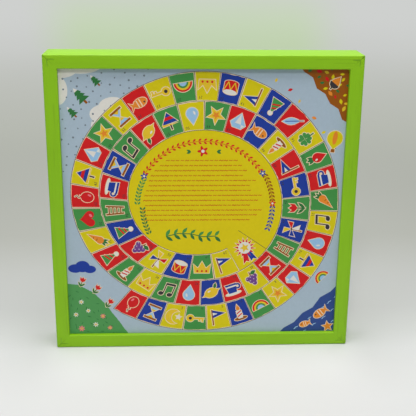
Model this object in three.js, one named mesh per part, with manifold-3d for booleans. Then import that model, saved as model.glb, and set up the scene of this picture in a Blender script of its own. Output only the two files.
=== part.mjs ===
// A square wooden game box that stands on its lower rail: four mitred rails, a fixed board with
// a race game at the front, a ludo board that slides out sideways at the back, and the pawns and
// dice kept between the two boards.
// Millimetres, +Z up, front towards -Y, origin on the ground under the middle of the box.
import * as THREE from "three";
import { RoundedBoxGeometry } from "three/addons/geometries/RoundedBoxGeometry.js";
import { mergeVertices } from "three/addons/utils/BufferGeometryUtils.js";
import Module from "manifold-3d";

// Frame
const SIDE = 290; // outer width and height
const DEPTH = 36; // front edge to back edge
const RAIL = 13; // thickness of each rail
const EDGE_ROUND = 1.5; // outer long edges of the rails
const LIP_ROUND = 0.8; // edges round the two recesses
const CORNER_ROUND = 1.5; // corners of the frame, seen from the front

// Boards and printed sheets
const RECESS = 4.6; // from the edge of the frame to the printed face
const BOARD = 3; // plywood thickness
const SHEET = 0.3; // printed paper on the board
const GROOVE = 4; // how deep the boards stand in the rails
const BOARD_CORNER = 1.5; // eased corners of a board

// Clearances
const PLAY = 0.3; // round a board in its groove
const JOINT_GAP = 0.3; // across a mitre and round a driven nail
const PIECE_GAP = 0.6; // between stored game pieces, and to the boards

// V-nails across the front of each mitre
const NAIL_LEG = 6; // along each rail, from the middle of the mitre
const NAIL_STEEL = 0.6; // sheet thickness
const NAIL_LENGTH = 10; // driven depth
const NAIL_SINK = 0.4; // end of the nail below the front edge

// Turned pawns
const PAWN_BASE = 13; // diameter of the foot
const PAWN_FOOT = 2.6; // height of the foot's rim
const PAWN_HEIGHT = 24;
const PAWN_NECK = 4.4; // diameter under the head
const PAWN_HEAD = 8.6; // diameter of the ball
const FOOT_ROUND = 0.8; // lower edge of the foot

// Dice
const DIE = 14;
const DIE_ROUND = 2;
const PIP = 2.4; // diameter
const PIP_DEPTH = 0.5;
const PIP_PITCH = 3.6;

// Counts
const PAWNS_OF_A_COLOUR = 4;
const DICE = 2;
const ROUND_STEPS = 4; // facets of a rounded edge
const PAWN_SIDES = 16;

// Places that follow from the sizes, with y = 0 in the middle of the depth
const INNER = SIDE - 2 * RAIL;
const FRONT = -DEPTH / 2;
const BACK = DEPTH / 2;
const RACE_FACE = FRONT + RECESS;
const RACE_FRONT = RACE_FACE + SHEET;
const RACE_BACK = RACE_FRONT + BOARD;
const LUDO_FACE = BACK - RECESS;
const LUDO_BACK = LUDO_FACE - SHEET;
const LUDO_FRONT = LUDO_BACK - BOARD;
const STORE_DEPTH = LUDO_FRONT - RACE_BACK;
const BOARD_REACH = INNER / 2 + GROOVE - PLAY; // from the frame's centre to a board's edge
const QUARTER = Math.PI / 2;

const COLOURS = { red: 0xc4282d, yellow: 0xd2bf14, blue: 0x233c8c, green: 0x3c8c55 };
const LACQUER = { color: 0x80b21e, roughness: 0.35, metalness: 0 };
const PLYWOOD = { color: 0xcaa877, roughness: 0.7, metalness: 0 };
const PAPER = { color: 0x96a7af, roughness: 0.45, metalness: 0 };
const STEEL = { color: 0x8d9094, roughness: 0.4, metalness: 1 };
const BEECH = { color: 0xd9b98a, roughness: 0.5, metalness: 0 };

const wasm = await Module();
wasm.setup();

/** A closed geometry as a solid that can be joined and cut. */
function toSolid(geometry) {
  const bare = geometry.clone();
  bare.deleteAttribute("normal");
  bare.deleteAttribute("uv");
  const merged = mergeVertices(bare);
  const vertProperties = merged.attributes.position.array;
  const triVerts = new Uint32Array(merged.index.array);
  return new wasm.Manifold(new wasm.Mesh({ numProp: 3, vertProperties, triVerts }));
}

/** A joined or cut solid as a geometry. */
function toGeometry(solid) {
  const { vertProperties, triVerts } = solid.getMesh();
  const geometry = new THREE.BufferGeometry();
  geometry.setAttribute("position", new THREE.BufferAttribute(vertProperties, 3));
  geometry.setIndex(new THREE.BufferAttribute(triVerts, 1));
  geometry.computeVertexNormals();
  return geometry;
}

/** A named mesh with a material of its own. */
function piece(name, geometry, finish) {
  const mesh = new THREE.Mesh(geometry, new THREE.MeshStandardMaterial(finish));
  mesh.name = name;
  return mesh;
}

/** A rectangle with round corners, drawn round the point (0, 0). */
function roundedRectangle(left, right, low, high, radius) {
  const shape = new THREE.Shape();
  shape.absarc(right - radius, high - radius, radius, 0, QUARTER);
  shape.absarc(left + radius, high - radius, radius, QUARTER, 2 * QUARTER);
  shape.absarc(left + radius, low + radius, radius, 2 * QUARTER, 3 * QUARTER);
  shape.absarc(right - radius, low + radius, radius, 3 * QUARTER, 4 * QUARTER);
  shape.closePath();
  return shape;
}

/** A shape drawn in X and Z as a slab between two values of y. */
function slab(shape, near, far) {
  const settings = { depth: far - near, bevelEnabled: false, curveSegments: ROUND_STEPS };
  const geometry = new THREE.ExtrudeGeometry(shape, settings);
  return geometry.rotateX(QUARTER).translate(0, far, 0);
}

/** Draws one board groove into a rail's inner face, from its back wall to its front wall. */
function addGroove(outline, boardFront, boardBack) {
  outline.lineTo(0, boardBack + PLAY);
  outline.lineTo(GROOVE, boardBack + PLAY);
  outline.lineTo(GROOVE, boardFront - PLAY);
  outline.lineTo(0, boardFront - PLAY);
}

/** Draws the rounded front edges that close every rail's outline. */
function closeAtFront(outline) {
  outline.lineTo(0, FRONT + LIP_ROUND);
  outline.absarc(LIP_ROUND, FRONT + LIP_ROUND, LIP_ROUND, 2 * QUARTER, 3 * QUARTER);
  outline.absarc(RAIL - EDGE_ROUND, FRONT + EDGE_ROUND, EDGE_ROUND, 3 * QUARTER, 4 * QUARTER);
  outline.closePath();
}

/** Draws the rounded back edges of a rail, from its outer face to its inner face. */
function turnAtBack(outline) {
  outline.absarc(RAIL - EDGE_ROUND, BACK - EDGE_ROUND, EDGE_ROUND, 0, QUARTER);
  outline.absarc(LIP_ROUND, BACK - LIP_ROUND, LIP_ROUND, QUARTER, 2 * QUARTER);
}

/** Section of a full rail with both grooves: first value outwards from its inner face, second along y. */
function fullRailSection() {
  const outline = new THREE.Shape();
  turnAtBack(outline);
  addGroove(outline, LUDO_FRONT, LUDO_FACE);
  addGroove(outline, RACE_FACE, RACE_BACK);
  closeAtFront(outline);
  return outline;
}

/** Section of the left rail, sawn off level with the front wall of the back groove. */
function sawnRailSection() {
  const sawn = LUDO_FRONT - PLAY;
  const outline = new THREE.Shape();
  outline.moveTo(RAIL, sawn);
  outline.lineTo(0, sawn);
  addGroove(outline, RACE_FACE, RACE_BACK);
  closeAtFront(outline);
  return outline;
}

/** Section of the strip sawn from the left rail, with the rebate that takes the ludo board's end. */
function pullStripSection() {
  const outline = new THREE.Shape();
  outline.moveTo(RAIL, LUDO_FRONT);
  turnAtBack(outline);
  outline.lineTo(0, LUDO_BACK);
  outline.lineTo(GROOVE, LUDO_BACK);
  outline.lineTo(GROOVE, LUDO_FRONT);
  outline.closePath();
  return outline;
}

/** A bar of the given section along the top of the frame, each end cut on the mitre. */
function mitredBar(section) {
  const settings = { depth: 1, bevelEnabled: false, curveSegments: ROUND_STEPS };
  const bar = new THREE.ExtrudeGeometry(section, settings);
  const place = bar.attributes.position;
  const setBack = JOINT_GAP * Math.SQRT1_2;
  for (let i = 0; i < place.count; i++) {
    const height = INNER / 2 + place.getX(i);
    const end = place.getZ(i) < 0.5 ? 1 : -1;
    place.setXYZ(i, end * (height - setBack), place.getY(i), height);
  }
  return toSolid(bar);
}

/** The V-nail of the top right corner, or with room its pocket. */
function vNail(room) {
  const middle = SIDE / 2 - (RAIL - GROOVE) / 2;
  const half = NAIL_STEEL / 2 + room;
  const tip = middle - NAIL_LEG - room;
  const corners = [
    [middle + half, middle + half],
    [tip, middle + half],
    [tip, middle - half],
    [middle - half, middle - half],
    [middle - half, tip],
    [middle + half, tip],
  ];
  const shape = new THREE.Shape(corners.map(([x, z]) => new THREE.Vector2(x, z)));
  const near = FRONT + NAIL_SINK;
  return slab(shape, near, near + NAIL_LENGTH + room);
}

/** A rail's bar with the frame's corners rounded and the nail pockets cut at both ends. */
function railBody(section) {
  const half = SIDE / 2;
  const corners = roundedRectangle(-half, half, -half, half, CORNER_ROUND);
  const mouth = vNail(JOINT_GAP).translate(0, -NAIL_SINK, 0);
  const pocket = toSolid(vNail(JOINT_GAP)).add(toSolid(mouth));
  const left = pocket.rotate([0, -90, 0]);
  return mitredBar(section)
    .intersect(toSolid(slab(corners, 2 * FRONT, 2 * BACK)))
    .subtract(pocket)
    .subtract(left);
}

/** The four rails and their nails, round the frame's centre. */
function buildFrame() {
  const frame = new THREE.Group();
  const full = toGeometry(railBody(fullRailSection()));
  const sawn = toGeometry(railBody(sawnRailSection()));
  const rails = [
    ["top_rail", full, 0],
    ["right_rail", full, 1],
    ["bottom_rail", full, 2],
    ["left_rail", sawn, 3],
  ];
  for (const [name, geometry, turns] of rails) {
    const rail = piece(name, geometry, LACQUER);
    rail.rotation.y = turns * QUARTER;
    frame.add(rail);
  }
  ["top_right", "bottom_right", "bottom_left", "top_left"].forEach((corner, turns) => {
    const nail = piece("v_nail_" + corner, vNail(0), STEEL);
    nail.rotation.y = turns * QUARTER;
    frame.add(nail);
  });
  return frame;
}

/** The fixed race board and its printed sheet. */
function buildRaceBoard() {
  const board = new THREE.Group();
  const reach = BOARD_REACH;
  const outline = roundedRectangle(-reach, reach, -reach, reach, BOARD_CORNER);
  board.add(piece("race_board", slab(outline, RACE_FRONT, RACE_BACK), PLYWOOD));
  board.add(piece("race_sheet", slab(outline, RACE_FACE, RACE_FRONT), PAPER));
  return board;
}

/** The sliding ludo board with its printed sheet and the strip that pulls it. */
function buildLudoBoard() {
  const board = new THREE.Group();
  const reach = BOARD_REACH;
  const end = -INNER / 2 - GROOVE;
  const outline = roundedRectangle(end, reach, -reach, reach, BOARD_CORNER);
  const printed = roundedRectangle(-INNER / 2, reach, -reach, reach, BOARD_CORNER);
  board.add(piece("ludo_board", slab(outline, LUDO_FRONT, LUDO_BACK), PLYWOOD));
  board.add(piece("ludo_sheet", slab(printed, LUDO_BACK, LUDO_FACE), PAPER));
  const half = SIDE / 2;
  const corners = roundedRectangle(-half, half, -half, half, CORNER_ROUND);
  const rounded = toSolid(slab(corners, 2 * FRONT, 2 * BACK));
  const strip = mitredBar(pullStripSection()).intersect(rounded);
  const pullStrip = piece("pull_strip", toGeometry(strip), LACQUER);
  pullStrip.rotation.y = 3 * QUARTER;
  board.add(pullStrip);
  return board;
}

/** A pawn turned round Z, its foot on z = 0: rim, hollow waist and ball. */
function pawnGeometry() {
  const foot = PAWN_BASE / 2;
  const neck = PAWN_NECK / 2;
  const head = PAWN_HEAD / 2;
  const ball = PAWN_HEIGHT - head;
  const underBall = -Math.acos(neck / head);
  const neckHeight = ball + head * Math.sin(underBall);
  const side = new THREE.Path();
  side.moveTo(0, 0);
  side.lineTo(foot - FOOT_ROUND, 0);
  side.lineTo(foot, FOOT_ROUND);
  side.lineTo(foot, PAWN_FOOT);
  side.quadraticCurveTo(neck, PAWN_FOOT + (neckHeight - PAWN_FOOT) / 3, neck, neckHeight);
  side.absarc(0, ball, head, underBall, QUARTER);
  return new THREE.LatheGeometry(side.getPoints(ROUND_STEPS), PAWN_SIDES).rotateX(QUARTER);
}

/** Places of the pips on a die's face, in steps of the pip pitch. */
function pipPlaces(value) {
  const places = value % 2 ? [[0, 0]] : [];
  if (value > 1) places.push([-1, -1], [1, 1]);
  if (value > 3) places.push([-1, 1], [1, -1]);
  if (value > 5) places.push([-1, 0], [1, 0]);
  return places;
}

/** A die standing on z = 0, with a shallow dimple for each pip and opposite faces that add up to 7. */
function dieGeometry() {
  const faces = [
    [1, 0, 0, 1],
    [6, 0, 0, -1],
    [2, 1, 0, 0],
    [5, -1, 0, 0],
    [3, 0, 1, 0],
    [4, 0, -1, 0],
  ];
  const ball = ((PIP / 2) ** 2 + PIP_DEPTH ** 2) / (2 * PIP_DEPTH);
  const up = new THREE.Vector3(0, 0, 1);
  let die = toSolid(new RoundedBoxGeometry(DIE, DIE, DIE, 2, DIE_ROUND));
  for (const [value, x, y, z] of faces) {
    const turn = new THREE.Quaternion().setFromUnitVectors(up, new THREE.Vector3(x, y, z));
    for (const [across, along] of pipPlaces(value)) {
      const dimple = new THREE.SphereGeometry(ball, 8, 6);
      dimple.translate(across * PIP_PITCH, along * PIP_PITCH, DIE / 2 + ball - PIP_DEPTH);
      die = die.subtract(toSolid(dimple.applyQuaternion(turn)));
    }
  }
  return toGeometry(die).translate(0, 0, DIE / 2);
}

/** The pawns in a zigzag between the boards and the dice after them, standing on the lower rail. */
function buildGamePieces() {
  const store = new THREE.Group();
  const names = Object.keys(COLOURS);
  const count = names.length * PAWNS_OF_A_COLOUR;
  const pitch = PAWN_BASE + PIECE_GAP;
  const swing = Math.max(0, STORE_DEPTH / 2 - PAWN_BASE / 2 - PIECE_GAP);
  const step = Math.max(pitch / 2, Math.sqrt(Math.max(0, pitch ** 2 - 4 * swing ** 2)));
  const diePitch = DIE + PIECE_GAP;
  const length = (count - 1) * step + pitch + DICE * diePitch;
  const firstPawn = (pitch - length) / 2;
  const firstDie = length / 2 - (DICE - 0.5) * diePitch;
  const pawn = pawnGeometry();
  for (let i = 0; i < count; i++) {
    const colour = names[Math.floor(i / PAWNS_OF_A_COLOUR)];
    const finish = { color: COLOURS[colour], roughness: 0.3, metalness: 0 };
    const name = "pawn_" + colour + "_" + ((i % PAWNS_OF_A_COLOUR) + 1);
    const mesh = piece(name, pawn, finish);
    mesh.position.set(firstPawn + i * step, i % 2 ? swing : -swing, 0);
    store.add(mesh);
  }
  const die = dieGeometry();
  for (let i = 0; i < DICE; i++) {
    const mesh = piece("die_" + (i + 1), die, BEECH);
    mesh.position.x = firstDie + i * diePitch;
    store.add(mesh);
  }
  return store;
}

const box = new THREE.Group();
for (const part of [buildFrame(), buildRaceBoard(), buildLudoBoard()]) {
  part.position.z = SIDE / 2;
  box.add(part);
}
const pieces = buildGamePieces();
pieces.position.z = RAIL;
box.add(pieces);

export default box;
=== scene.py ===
"""A lacquered wooden game box: a race game in front, a sliding ludo board behind, pawns and dice inside.

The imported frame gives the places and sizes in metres. Prints are drawn in millimetres round their own centre.
"""

import logging
import math
import random
from collections.abc import Iterable
from dataclasses import dataclass, field
from enum import Enum
from typing import Any, ClassVar

import bmesh
import bpy
from mathutils import Euler, Matrix, Vector
from mathutils.geometry import delaunay_2d_cdt


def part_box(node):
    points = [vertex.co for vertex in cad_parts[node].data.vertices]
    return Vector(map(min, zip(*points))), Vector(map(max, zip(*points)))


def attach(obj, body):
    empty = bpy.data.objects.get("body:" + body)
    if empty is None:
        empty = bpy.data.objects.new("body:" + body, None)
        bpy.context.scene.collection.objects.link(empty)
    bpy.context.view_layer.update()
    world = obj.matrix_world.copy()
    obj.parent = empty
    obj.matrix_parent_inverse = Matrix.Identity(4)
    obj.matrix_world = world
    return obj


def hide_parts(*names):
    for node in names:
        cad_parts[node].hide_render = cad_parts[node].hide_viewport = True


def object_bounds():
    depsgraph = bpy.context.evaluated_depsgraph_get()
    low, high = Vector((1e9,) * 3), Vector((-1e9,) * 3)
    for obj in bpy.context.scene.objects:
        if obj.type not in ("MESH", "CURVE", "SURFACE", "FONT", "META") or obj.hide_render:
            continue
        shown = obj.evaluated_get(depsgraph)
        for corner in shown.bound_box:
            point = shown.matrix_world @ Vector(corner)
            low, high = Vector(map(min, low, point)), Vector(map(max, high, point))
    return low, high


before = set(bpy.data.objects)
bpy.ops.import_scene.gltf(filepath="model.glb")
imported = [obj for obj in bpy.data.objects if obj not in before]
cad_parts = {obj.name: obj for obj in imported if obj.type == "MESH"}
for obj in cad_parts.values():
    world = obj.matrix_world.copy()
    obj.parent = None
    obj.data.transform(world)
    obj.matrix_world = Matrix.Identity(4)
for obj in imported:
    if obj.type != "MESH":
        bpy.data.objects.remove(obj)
CAD_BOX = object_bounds()

LOG = logging.getLogger("game_box")
MM = 0.001
SMOOTH_BELOW = math.radians(35)
INSIDE_TRIANGLES = 1  # the triangulation keeps what lies inside the areas
SAME_POINT = 1e-4
DOUBLE = 1e-6
SEAM = 0.01 * MM
SHARPEST = 0.45  # how far a sharp corner is held in when an outline grows
MAP_NAME = "OFBake"
MAP_PRINT = 0.98  # the map's share for printed faces, with the bare ones in a strip past it
MAP_STRIP = 0.985
MAP_STEP = 0.014

Point = tuple[float, float]
Span = tuple[float, float]
Place = tuple[float, float, float]
Colour = tuple[int, int, int]
Outline = list[Point]


class Ink(Enum):
    """Printing inks as display colours from 0 to 255."""

    LINE = (52, 48, 52)
    CREAM = (233, 212, 178)
    WHITE = (222, 219, 211)
    SKY = (167, 185, 199)
    RED = (207, 22, 25)
    YELLOW = (213, 197, 3)
    CENTRE = (216, 197, 0)
    GOLD = (226, 190, 40)
    BLUE = (24, 56, 150)
    GREEN = (64, 142, 68)
    BROWN = (147, 80, 2)
    HILL = (78, 148, 82)
    SEA = (44, 72, 138)
    LIGHT = (150, 190, 224)
    PINK = (228, 122, 132)
    ORANGE = (226, 134, 38)
    RIPPLE = (198, 112, 4)
    PURPLE = (108, 64, 138)
    LEAF = (44, 112, 56)
    DOT = (112, 122, 132)
    PAPER = (232, 229, 222)


class Axis(Enum):
    """Directions that a grain can run in."""

    X = (1.0, 0.0, 0.0)
    Z = (0.0, 0.0, 1.0)


class Cut(Enum):
    """Ways to work one solid with another."""

    TAKE_OFF = "DIFFERENCE"
    KEEP_COMMON = "INTERSECT"


def linear(colour: Iterable[float]) -> tuple[float, float, float, float]:
    """Turns a display colour into the linear colour that a shader takes.

    Args:
        colour: Red, green and blue from 0 to 255.

    Returns:
        Linear red, green and blue with full alpha.
    """
    shares = [value / 255 for value in colour]
    red, green, blue = [s / 12.92 if s <= 0.04045 else ((s + 0.055) / 1.055) ** 2.4 for s in shares]
    return red, green, blue, 1.0


class Wire:
    """A node's output that takes part in Python expressions."""

    def __init__(self, graph: "Graph", socket: bpy.types.NodeSocket) -> None:
        """Keeps the output and the graph that it belongs to."""
        self.graph = graph
        self.socket = socket

    def other(self, key: str | int) -> "Wire":
        """Another output of the same node."""
        return Wire(self.graph, self.socket.node.outputs[key])

    def __add__(self, other: "Wire | float") -> "Wire":
        """This value plus another."""
        return self.graph.maths("ADD", self, other)

    __radd__ = __add__

    def __sub__(self, other: "Wire | float") -> "Wire":
        """This value less another."""
        return self.graph.maths("SUBTRACT", self, other)

    def __rsub__(self, other: float) -> "Wire":
        """A number less this value."""
        return self.graph.maths("SUBTRACT", other, self)

    def __mul__(self, other: "Wire | float") -> "Wire":
        """This value times another."""
        return self.graph.maths("MULTIPLY", self, other)

    __rmul__ = __mul__

    def __truediv__(self, other: "Wire | float") -> "Wire":
        """This value over another."""
        return self.graph.maths("DIVIDE", self, other)

    def __gt__(self, other: "Wire | float") -> "Wire":
        """One where this value is above the other, and otherwise zero."""
        return self.graph.maths("GREATER_THAN", self, other)

    def __mod__(self, other: float) -> "Wire":
        """What is left of this value past whole steps."""
        return self.graph.maths("FLOORED_MODULO", self, other)


class Graph:
    """A node tree that is written as expressions."""

    def __init__(self, tree: bpy.types.NodeTree) -> None:
        """Keeps the tree."""
        self.tree = tree

    def add(
        self,
        kind: str,
        settings: dict[str, Any] | None = None,
        inputs: dict[str | int, Any] | None = None,
        output: str | int = 0,
    ) -> Wire | None:
        """Adds one node.

        Args:
            kind: The node's type.
            settings: Its properties, set first. A ramp's stops are pairs of place and colour.
            inputs: Values or wires for its sockets.
            output: The output to hand on.

        Returns:
            The chosen output, or None for a node that has none.
        """
        node = self.tree.nodes.new(kind)
        for name, value in (settings or {}).items():
            if name == "stops":
                self.set_stops(node.color_ramp, value)
            else:
                setattr(node, name, value)
        for key, value in (inputs or {}).items():
            if isinstance(value, Wire):
                self.tree.links.new(value.socket, node.inputs[key])
            else:
                node.inputs[key].default_value = value
        return Wire(self, node.outputs[output]) if node.outputs else None

    @staticmethod
    def set_stops(ramp: bpy.types.ColorRamp, stops: list[tuple[float, tuple]]) -> None:
        """Gives a colour ramp its stops.

        Args:
            ramp: The ramp, which has two stops to begin with.
            stops: Pairs of place and colour, in order.
        """
        while len(ramp.elements) < len(stops):
            ramp.elements.new(1.0)
        for element, (place, colour) in zip(ramp.elements, stops):
            element.position = place
            element.color = colour

    def maths(self, operation: str, first: Wire | float, second: Wire | float) -> Wire:
        """One Math node for two values."""
        return self.add("ShaderNodeMath", {"operation": operation}, {0: first, 1: second})

    def mix(self, share: Wire | float, first: Any, second: Any, blend: str = "MIX") -> Wire:
        """Mixes two colours.

        Args:
            share: How much of the second colour shows.
            first: The colour below.
            second: The colour above.
            blend: How they are blended.

        Returns:
            The mixed colour.
        """
        settings = {"data_type": "RGBA", "blend_type": blend}
        return self.add("ShaderNodeMix", settings, {0: share, 6: first, 7: second}, 2)

    def noise(self, place: Wire, scale: float, detail: float = 3.0, distortion: float = 0.0) -> Wire:
        """A noise value from 0 to 1 at a place."""
        values = {"Vector": place, "Scale": scale, "Detail": detail, "Distortion": distortion}
        return self.add("ShaderNodeTexNoise", None, values)

    def place(self, scale: Iterable[float] = (1.0, 1.0, 1.0)) -> Wire:
        """Object coordinates, stretched by the given scale."""
        spot = self.add("ShaderNodeTexCoord", output="Object")
        return self.add("ShaderNodeMapping", None, {"Vector": spot, "Scale": tuple(scale)})

    def size(self, value: Wire) -> Wire:
        """A value without its sign."""
        return self.maths("ABSOLUTE", value, 0.0)

    def rise(self, value: Wire, ends: Span) -> Wire:
        """A smooth rise from 0 to 1 between two ends."""
        values = {"Value": value, "From Min": ends[0], "From Max": ends[1]}
        return self.add("ShaderNodeMapRange", {"interpolation_type": "SMOOTHSTEP"}, values)

    def bump(self, height: Wire, strength: float, distance: float) -> Wire:
        """A normal that follows a height."""
        values = {"Strength": strength, "Distance": distance, "Height": height}
        return self.add("ShaderNodeBump", None, values)

    def split(self, vector: Wire) -> tuple[Wire, Wire, Wire]:
        """The three parts of a vector."""
        first = self.add("ShaderNodeSeparateXYZ", None, {0: vector})
        return first, first.other(1), first.other(2)

    def shown(self) -> Wire:
        """The rays that show a background: from the camera, off gloss and through glass.

        Returns:
            1 for such a ray, and otherwise 0.
        """
        seen = self.add("ShaderNodeLightPath", output="Is Camera Ray")
        mirrored = self.maths("MAXIMUM", seen.other("Is Glossy Ray"), seen.other("Is Transmission Ray"))
        return self.maths("MAXIMUM", seen, mirrored)


@dataclass(frozen=True)
class Finish:
    """A finish that makes its material once and lends it to every piece."""

    name: str

    def material(self) -> bpy.types.Material:
        """The finish's material, made on its first use.

        Returns:
            The material, which every piece with this finish shares.
        """
        if self.name in bpy.data.materials:
            return bpy.data.materials[self.name]
        made = bpy.data.materials.new(self.name)
        made.use_nodes = True
        made.node_tree.nodes.clear()
        graph = Graph(made.node_tree)
        graph.add("ShaderNodeOutputMaterial", None, {"Surface": self.surface(graph)})
        return made

    def surface(self, graph: Graph) -> Wire:
        """The shader with its sockets filled."""
        return graph.add("ShaderNodeBsdfPrincipled", None, self.sockets(graph), "BSDF")

    def sockets(self, graph: Graph) -> dict[str, Any]:
        """What the shader's sockets hold, which each finish says for itself."""
        raise NotImplementedError


@dataclass(frozen=True)
class Lacquer(Finish):
    """Satin lacquer sprayed on wood, with the grain just showing through."""

    colour: Colour
    grain: Axis = Axis.X
    along: float = 9.0
    across: float = 240.0
    crack: Span = (0.135 * MM, 0.45 * MM)
    scuff: Span = (0.56, 0.68)
    scuff_scale: float = 330.0
    corner: Span = (0.92, 0.985)

    def sockets(self, graph: Graph) -> dict[str, Any]:
        """Faint streaks along the grain, cloudy depth of paint, and a fine orange peel.

        Args:
            graph: The material's graph.

        Returns:
            Values and wires by socket name.
        """
        stretch = [self.along if share else self.across for share in self.grain.value]
        streaks = graph.noise(graph.place(stretch), 1.0, 6.0, 0.6)
        pores = graph.noise(graph.place([value * 2.6 for value in stretch]), 1.0, 2.0)
        cloud = graph.noise(graph.place(), 26.0, 3.0)
        peel = graph.noise(graph.place(), 900.0, 2.0)
        tone = 0.88 + 0.13 * streaks + 0.11 * cloud
        colour = graph.mix(1.0, linear(self.colour), tone, "MULTIPLY")
        pooled = graph.mix(0.25 * (pores > 0.66), colour, linear([c * 0.8 for c in self.colour]))
        worn = graph.mix(0.6 * self.wear(graph), pooled, linear([c * 0.4 for c in self.colour]))
        height = 0.7 * streaks + 0.3 * peel - 0.4 * (pores > 0.68)
        return {
            "Base Color": worn,
            "Roughness": 0.36 + 0.16 * cloud + 0.06 * streaks,
            "Specular IOR Level": 0.3,
            "Coat Weight": 0.04 + 0.06 * cloud,
            "Coat Roughness": 0.25,
            "Normal": graph.bump(height, 0.22, 0.12 * MM),
        }

    def wear(self, graph: Graph) -> Wire:
        """Where the paint is cracked along the mitre and scuffed at the corners of the frame.

        Args:
            graph: The material's graph.

        Returns:
            A share from 0 to 1.
        """
        low, high = CAD_BOX
        half = (high[2] - low[2]) / 2
        across, _, up = graph.split(graph.place())
        wide, tall = graph.size(across), graph.size(up - half)
        ends = (self.corner[0] * half, self.corner[1] * half)
        corner = graph.rise(graph.maths("MINIMUM", wide, tall), ends)
        crack = 1 - graph.rise(graph.size(wide - tall), self.crack)
        scuff = graph.rise(graph.noise(graph.place(), self.scuff_scale, 4.0, 0.5), self.scuff)
        return corner * graph.maths("MAXIMUM", crack, 0.7 * scuff)


@dataclass(frozen=True)
class PrintedPaper(Finish):
    """Offset inks on paper under a thin satin varnish."""

    def sockets(self, graph: Graph) -> dict[str, Any]:
        """The inks of the sheet's faces, with uneven ink, paper fibre and varnish.

        Args:
            graph: The material's graph.

        Returns:
            Values and wires by socket name.
        """
        settings = {"attribute_type": "GEOMETRY", "attribute_name": "ink"}
        ink = graph.add("ShaderNodeAttribute", settings, output="Color")
        uneven = graph.noise(graph.place(), 420.0, 4.0)
        wide = graph.noise(graph.place(), 14.0, 2.0)
        fibre = graph.noise(graph.place((1.0, 1.0, 0.35)), 1700.0, 3.0)
        tone = 0.9 + 0.12 * uneven + 0.07 * wide
        return {
            "Base Color": graph.mix(1.0, ink, tone, "MULTIPLY"),
            "Roughness": 0.42 + 0.16 * fibre,
            "Specular IOR Level": 0.2,
            "Coat Weight": 0.02 + 0.06 * wide,
            "Coat Roughness": 0.3,
            "Normal": graph.bump(fibre, 0.12, 0.05 * MM),
        }


@dataclass(frozen=True)
class Plywood(Finish):
    """Bare birch plywood: flamed faces, and plies that show at its edges."""

    ply: float = 1.0 * MM

    def sockets(self, graph: Graph) -> dict[str, Any]:
        """Grain that runs up the faces, and bands of long and end grain on the edges.

        Args:
            graph: The material's graph.

        Returns:
            Values and wires by socket name.
        """
        flame = graph.noise(graph.place((46.0, 46.0, 5.0)), 1.0, 5.0, 1.6)
        fine = graph.noise(graph.place((900.0, 900.0, 60.0)), 1.0, 3.0)
        tones = [(0.25, (196, 158, 108)), (0.5, (222, 190, 142)), (0.8, (236, 210, 168))]
        stops = [(place, linear(tone)) for place, tone in tones]
        face = graph.add("ShaderNodeValToRGB", {"stops": stops}, {"Fac": 0.75 * flame + 0.25 * fine})
        _, depth, _ = graph.split(graph.add("ShaderNodeTexCoord", output="Object"))
        layer = (depth % (2 * self.ply)) > self.ply
        edge = graph.mix(layer, linear((214, 178, 126)), linear((140, 96, 56)))
        _, facing, _ = graph.split(graph.add("ShaderNodeNewGeometry", output="Normal"))
        at_edge = 1.0 - (facing * facing > 0.5)
        return {
            "Base Color": graph.mix(at_edge, face, edge),
            "Roughness": 0.58 + 0.16 * fine,
            "Normal": graph.bump(0.6 * fine + 0.4 * flame, 0.25, 0.12 * MM),
        }


@dataclass(frozen=True)
class PaintedSteel(Finish):
    """Rolled steel with the frame's lacquer scraped over it."""

    paint: Colour
    steel: Colour = (120, 122, 124)

    def sockets(self, graph: Graph) -> dict[str, Any]:
        """Lacquer that has worn through in specks.

        Args:
            graph: The material's graph.

        Returns:
            Values and wires by socket name.
        """
        specks = graph.noise(graph.place(), 1400.0, 4.0)
        bare = specks > 0.7
        rolled = graph.noise(graph.place((300.0, 2400.0, 300.0)), 1.0, 3.0)
        return {
            "Base Color": graph.mix(bare, linear(self.paint), linear(self.steel)),
            "Metallic": bare,
            "Roughness": 0.38 + 0.2 * rolled,
            "Normal": graph.bump(specks, 0.3, 0.05 * MM),
        }


@dataclass(frozen=True)
class TurnedGloss(Finish):
    """Gloss lacquer dipped over turned beech."""

    colour: Colour

    def sockets(self, graph: Graph) -> dict[str, Any]:
        """Fine tool rings under a clear, slightly uneven coat.

        Args:
            graph: The material's graph.

        Returns:
            Values and wires by socket name.
        """
        rings = graph.noise(graph.place((40.0, 40.0, 1500.0)), 1.0, 3.0)
        cloud = graph.noise(graph.place(), 120.0, 3.0)
        tone = 0.88 + 0.12 * rings + 0.1 * cloud
        return {
            "Base Color": graph.mix(1.0, linear(self.colour), tone, "MULTIPLY"),
            "Roughness": 0.2 + 0.14 * cloud,
            "Coat Weight": 0.5,
            "Coat Roughness": 0.08,
            "Normal": graph.bump(rings, 0.15, 0.05 * MM),
        }


@dataclass(frozen=True)
class SandedBeech(Finish):
    """Oiled beech with its short dark flecks."""

    def sockets(self, graph: Graph) -> dict[str, Any]:
        """Straight grain with flecks.

        Args:
            graph: The material's graph.

        Returns:
            Values and wires by socket name.
        """
        grain = graph.noise(graph.place((700.0, 700.0, 60.0)), 1.0, 5.0, 0.4)
        flecks = graph.noise(graph.place((2200.0, 2200.0, 420.0)), 1.0, 2.0)
        wood = graph.mix(grain, linear((196, 146, 92)), linear((232, 194, 142)))
        return {
            "Base Color": graph.mix(0.5 * (flecks > 0.62), wood, linear((138, 88, 48))),
            "Roughness": 0.42 + 0.18 * grain,
            "Normal": graph.bump(grain, 0.2, 0.06 * MM),
        }


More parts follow.
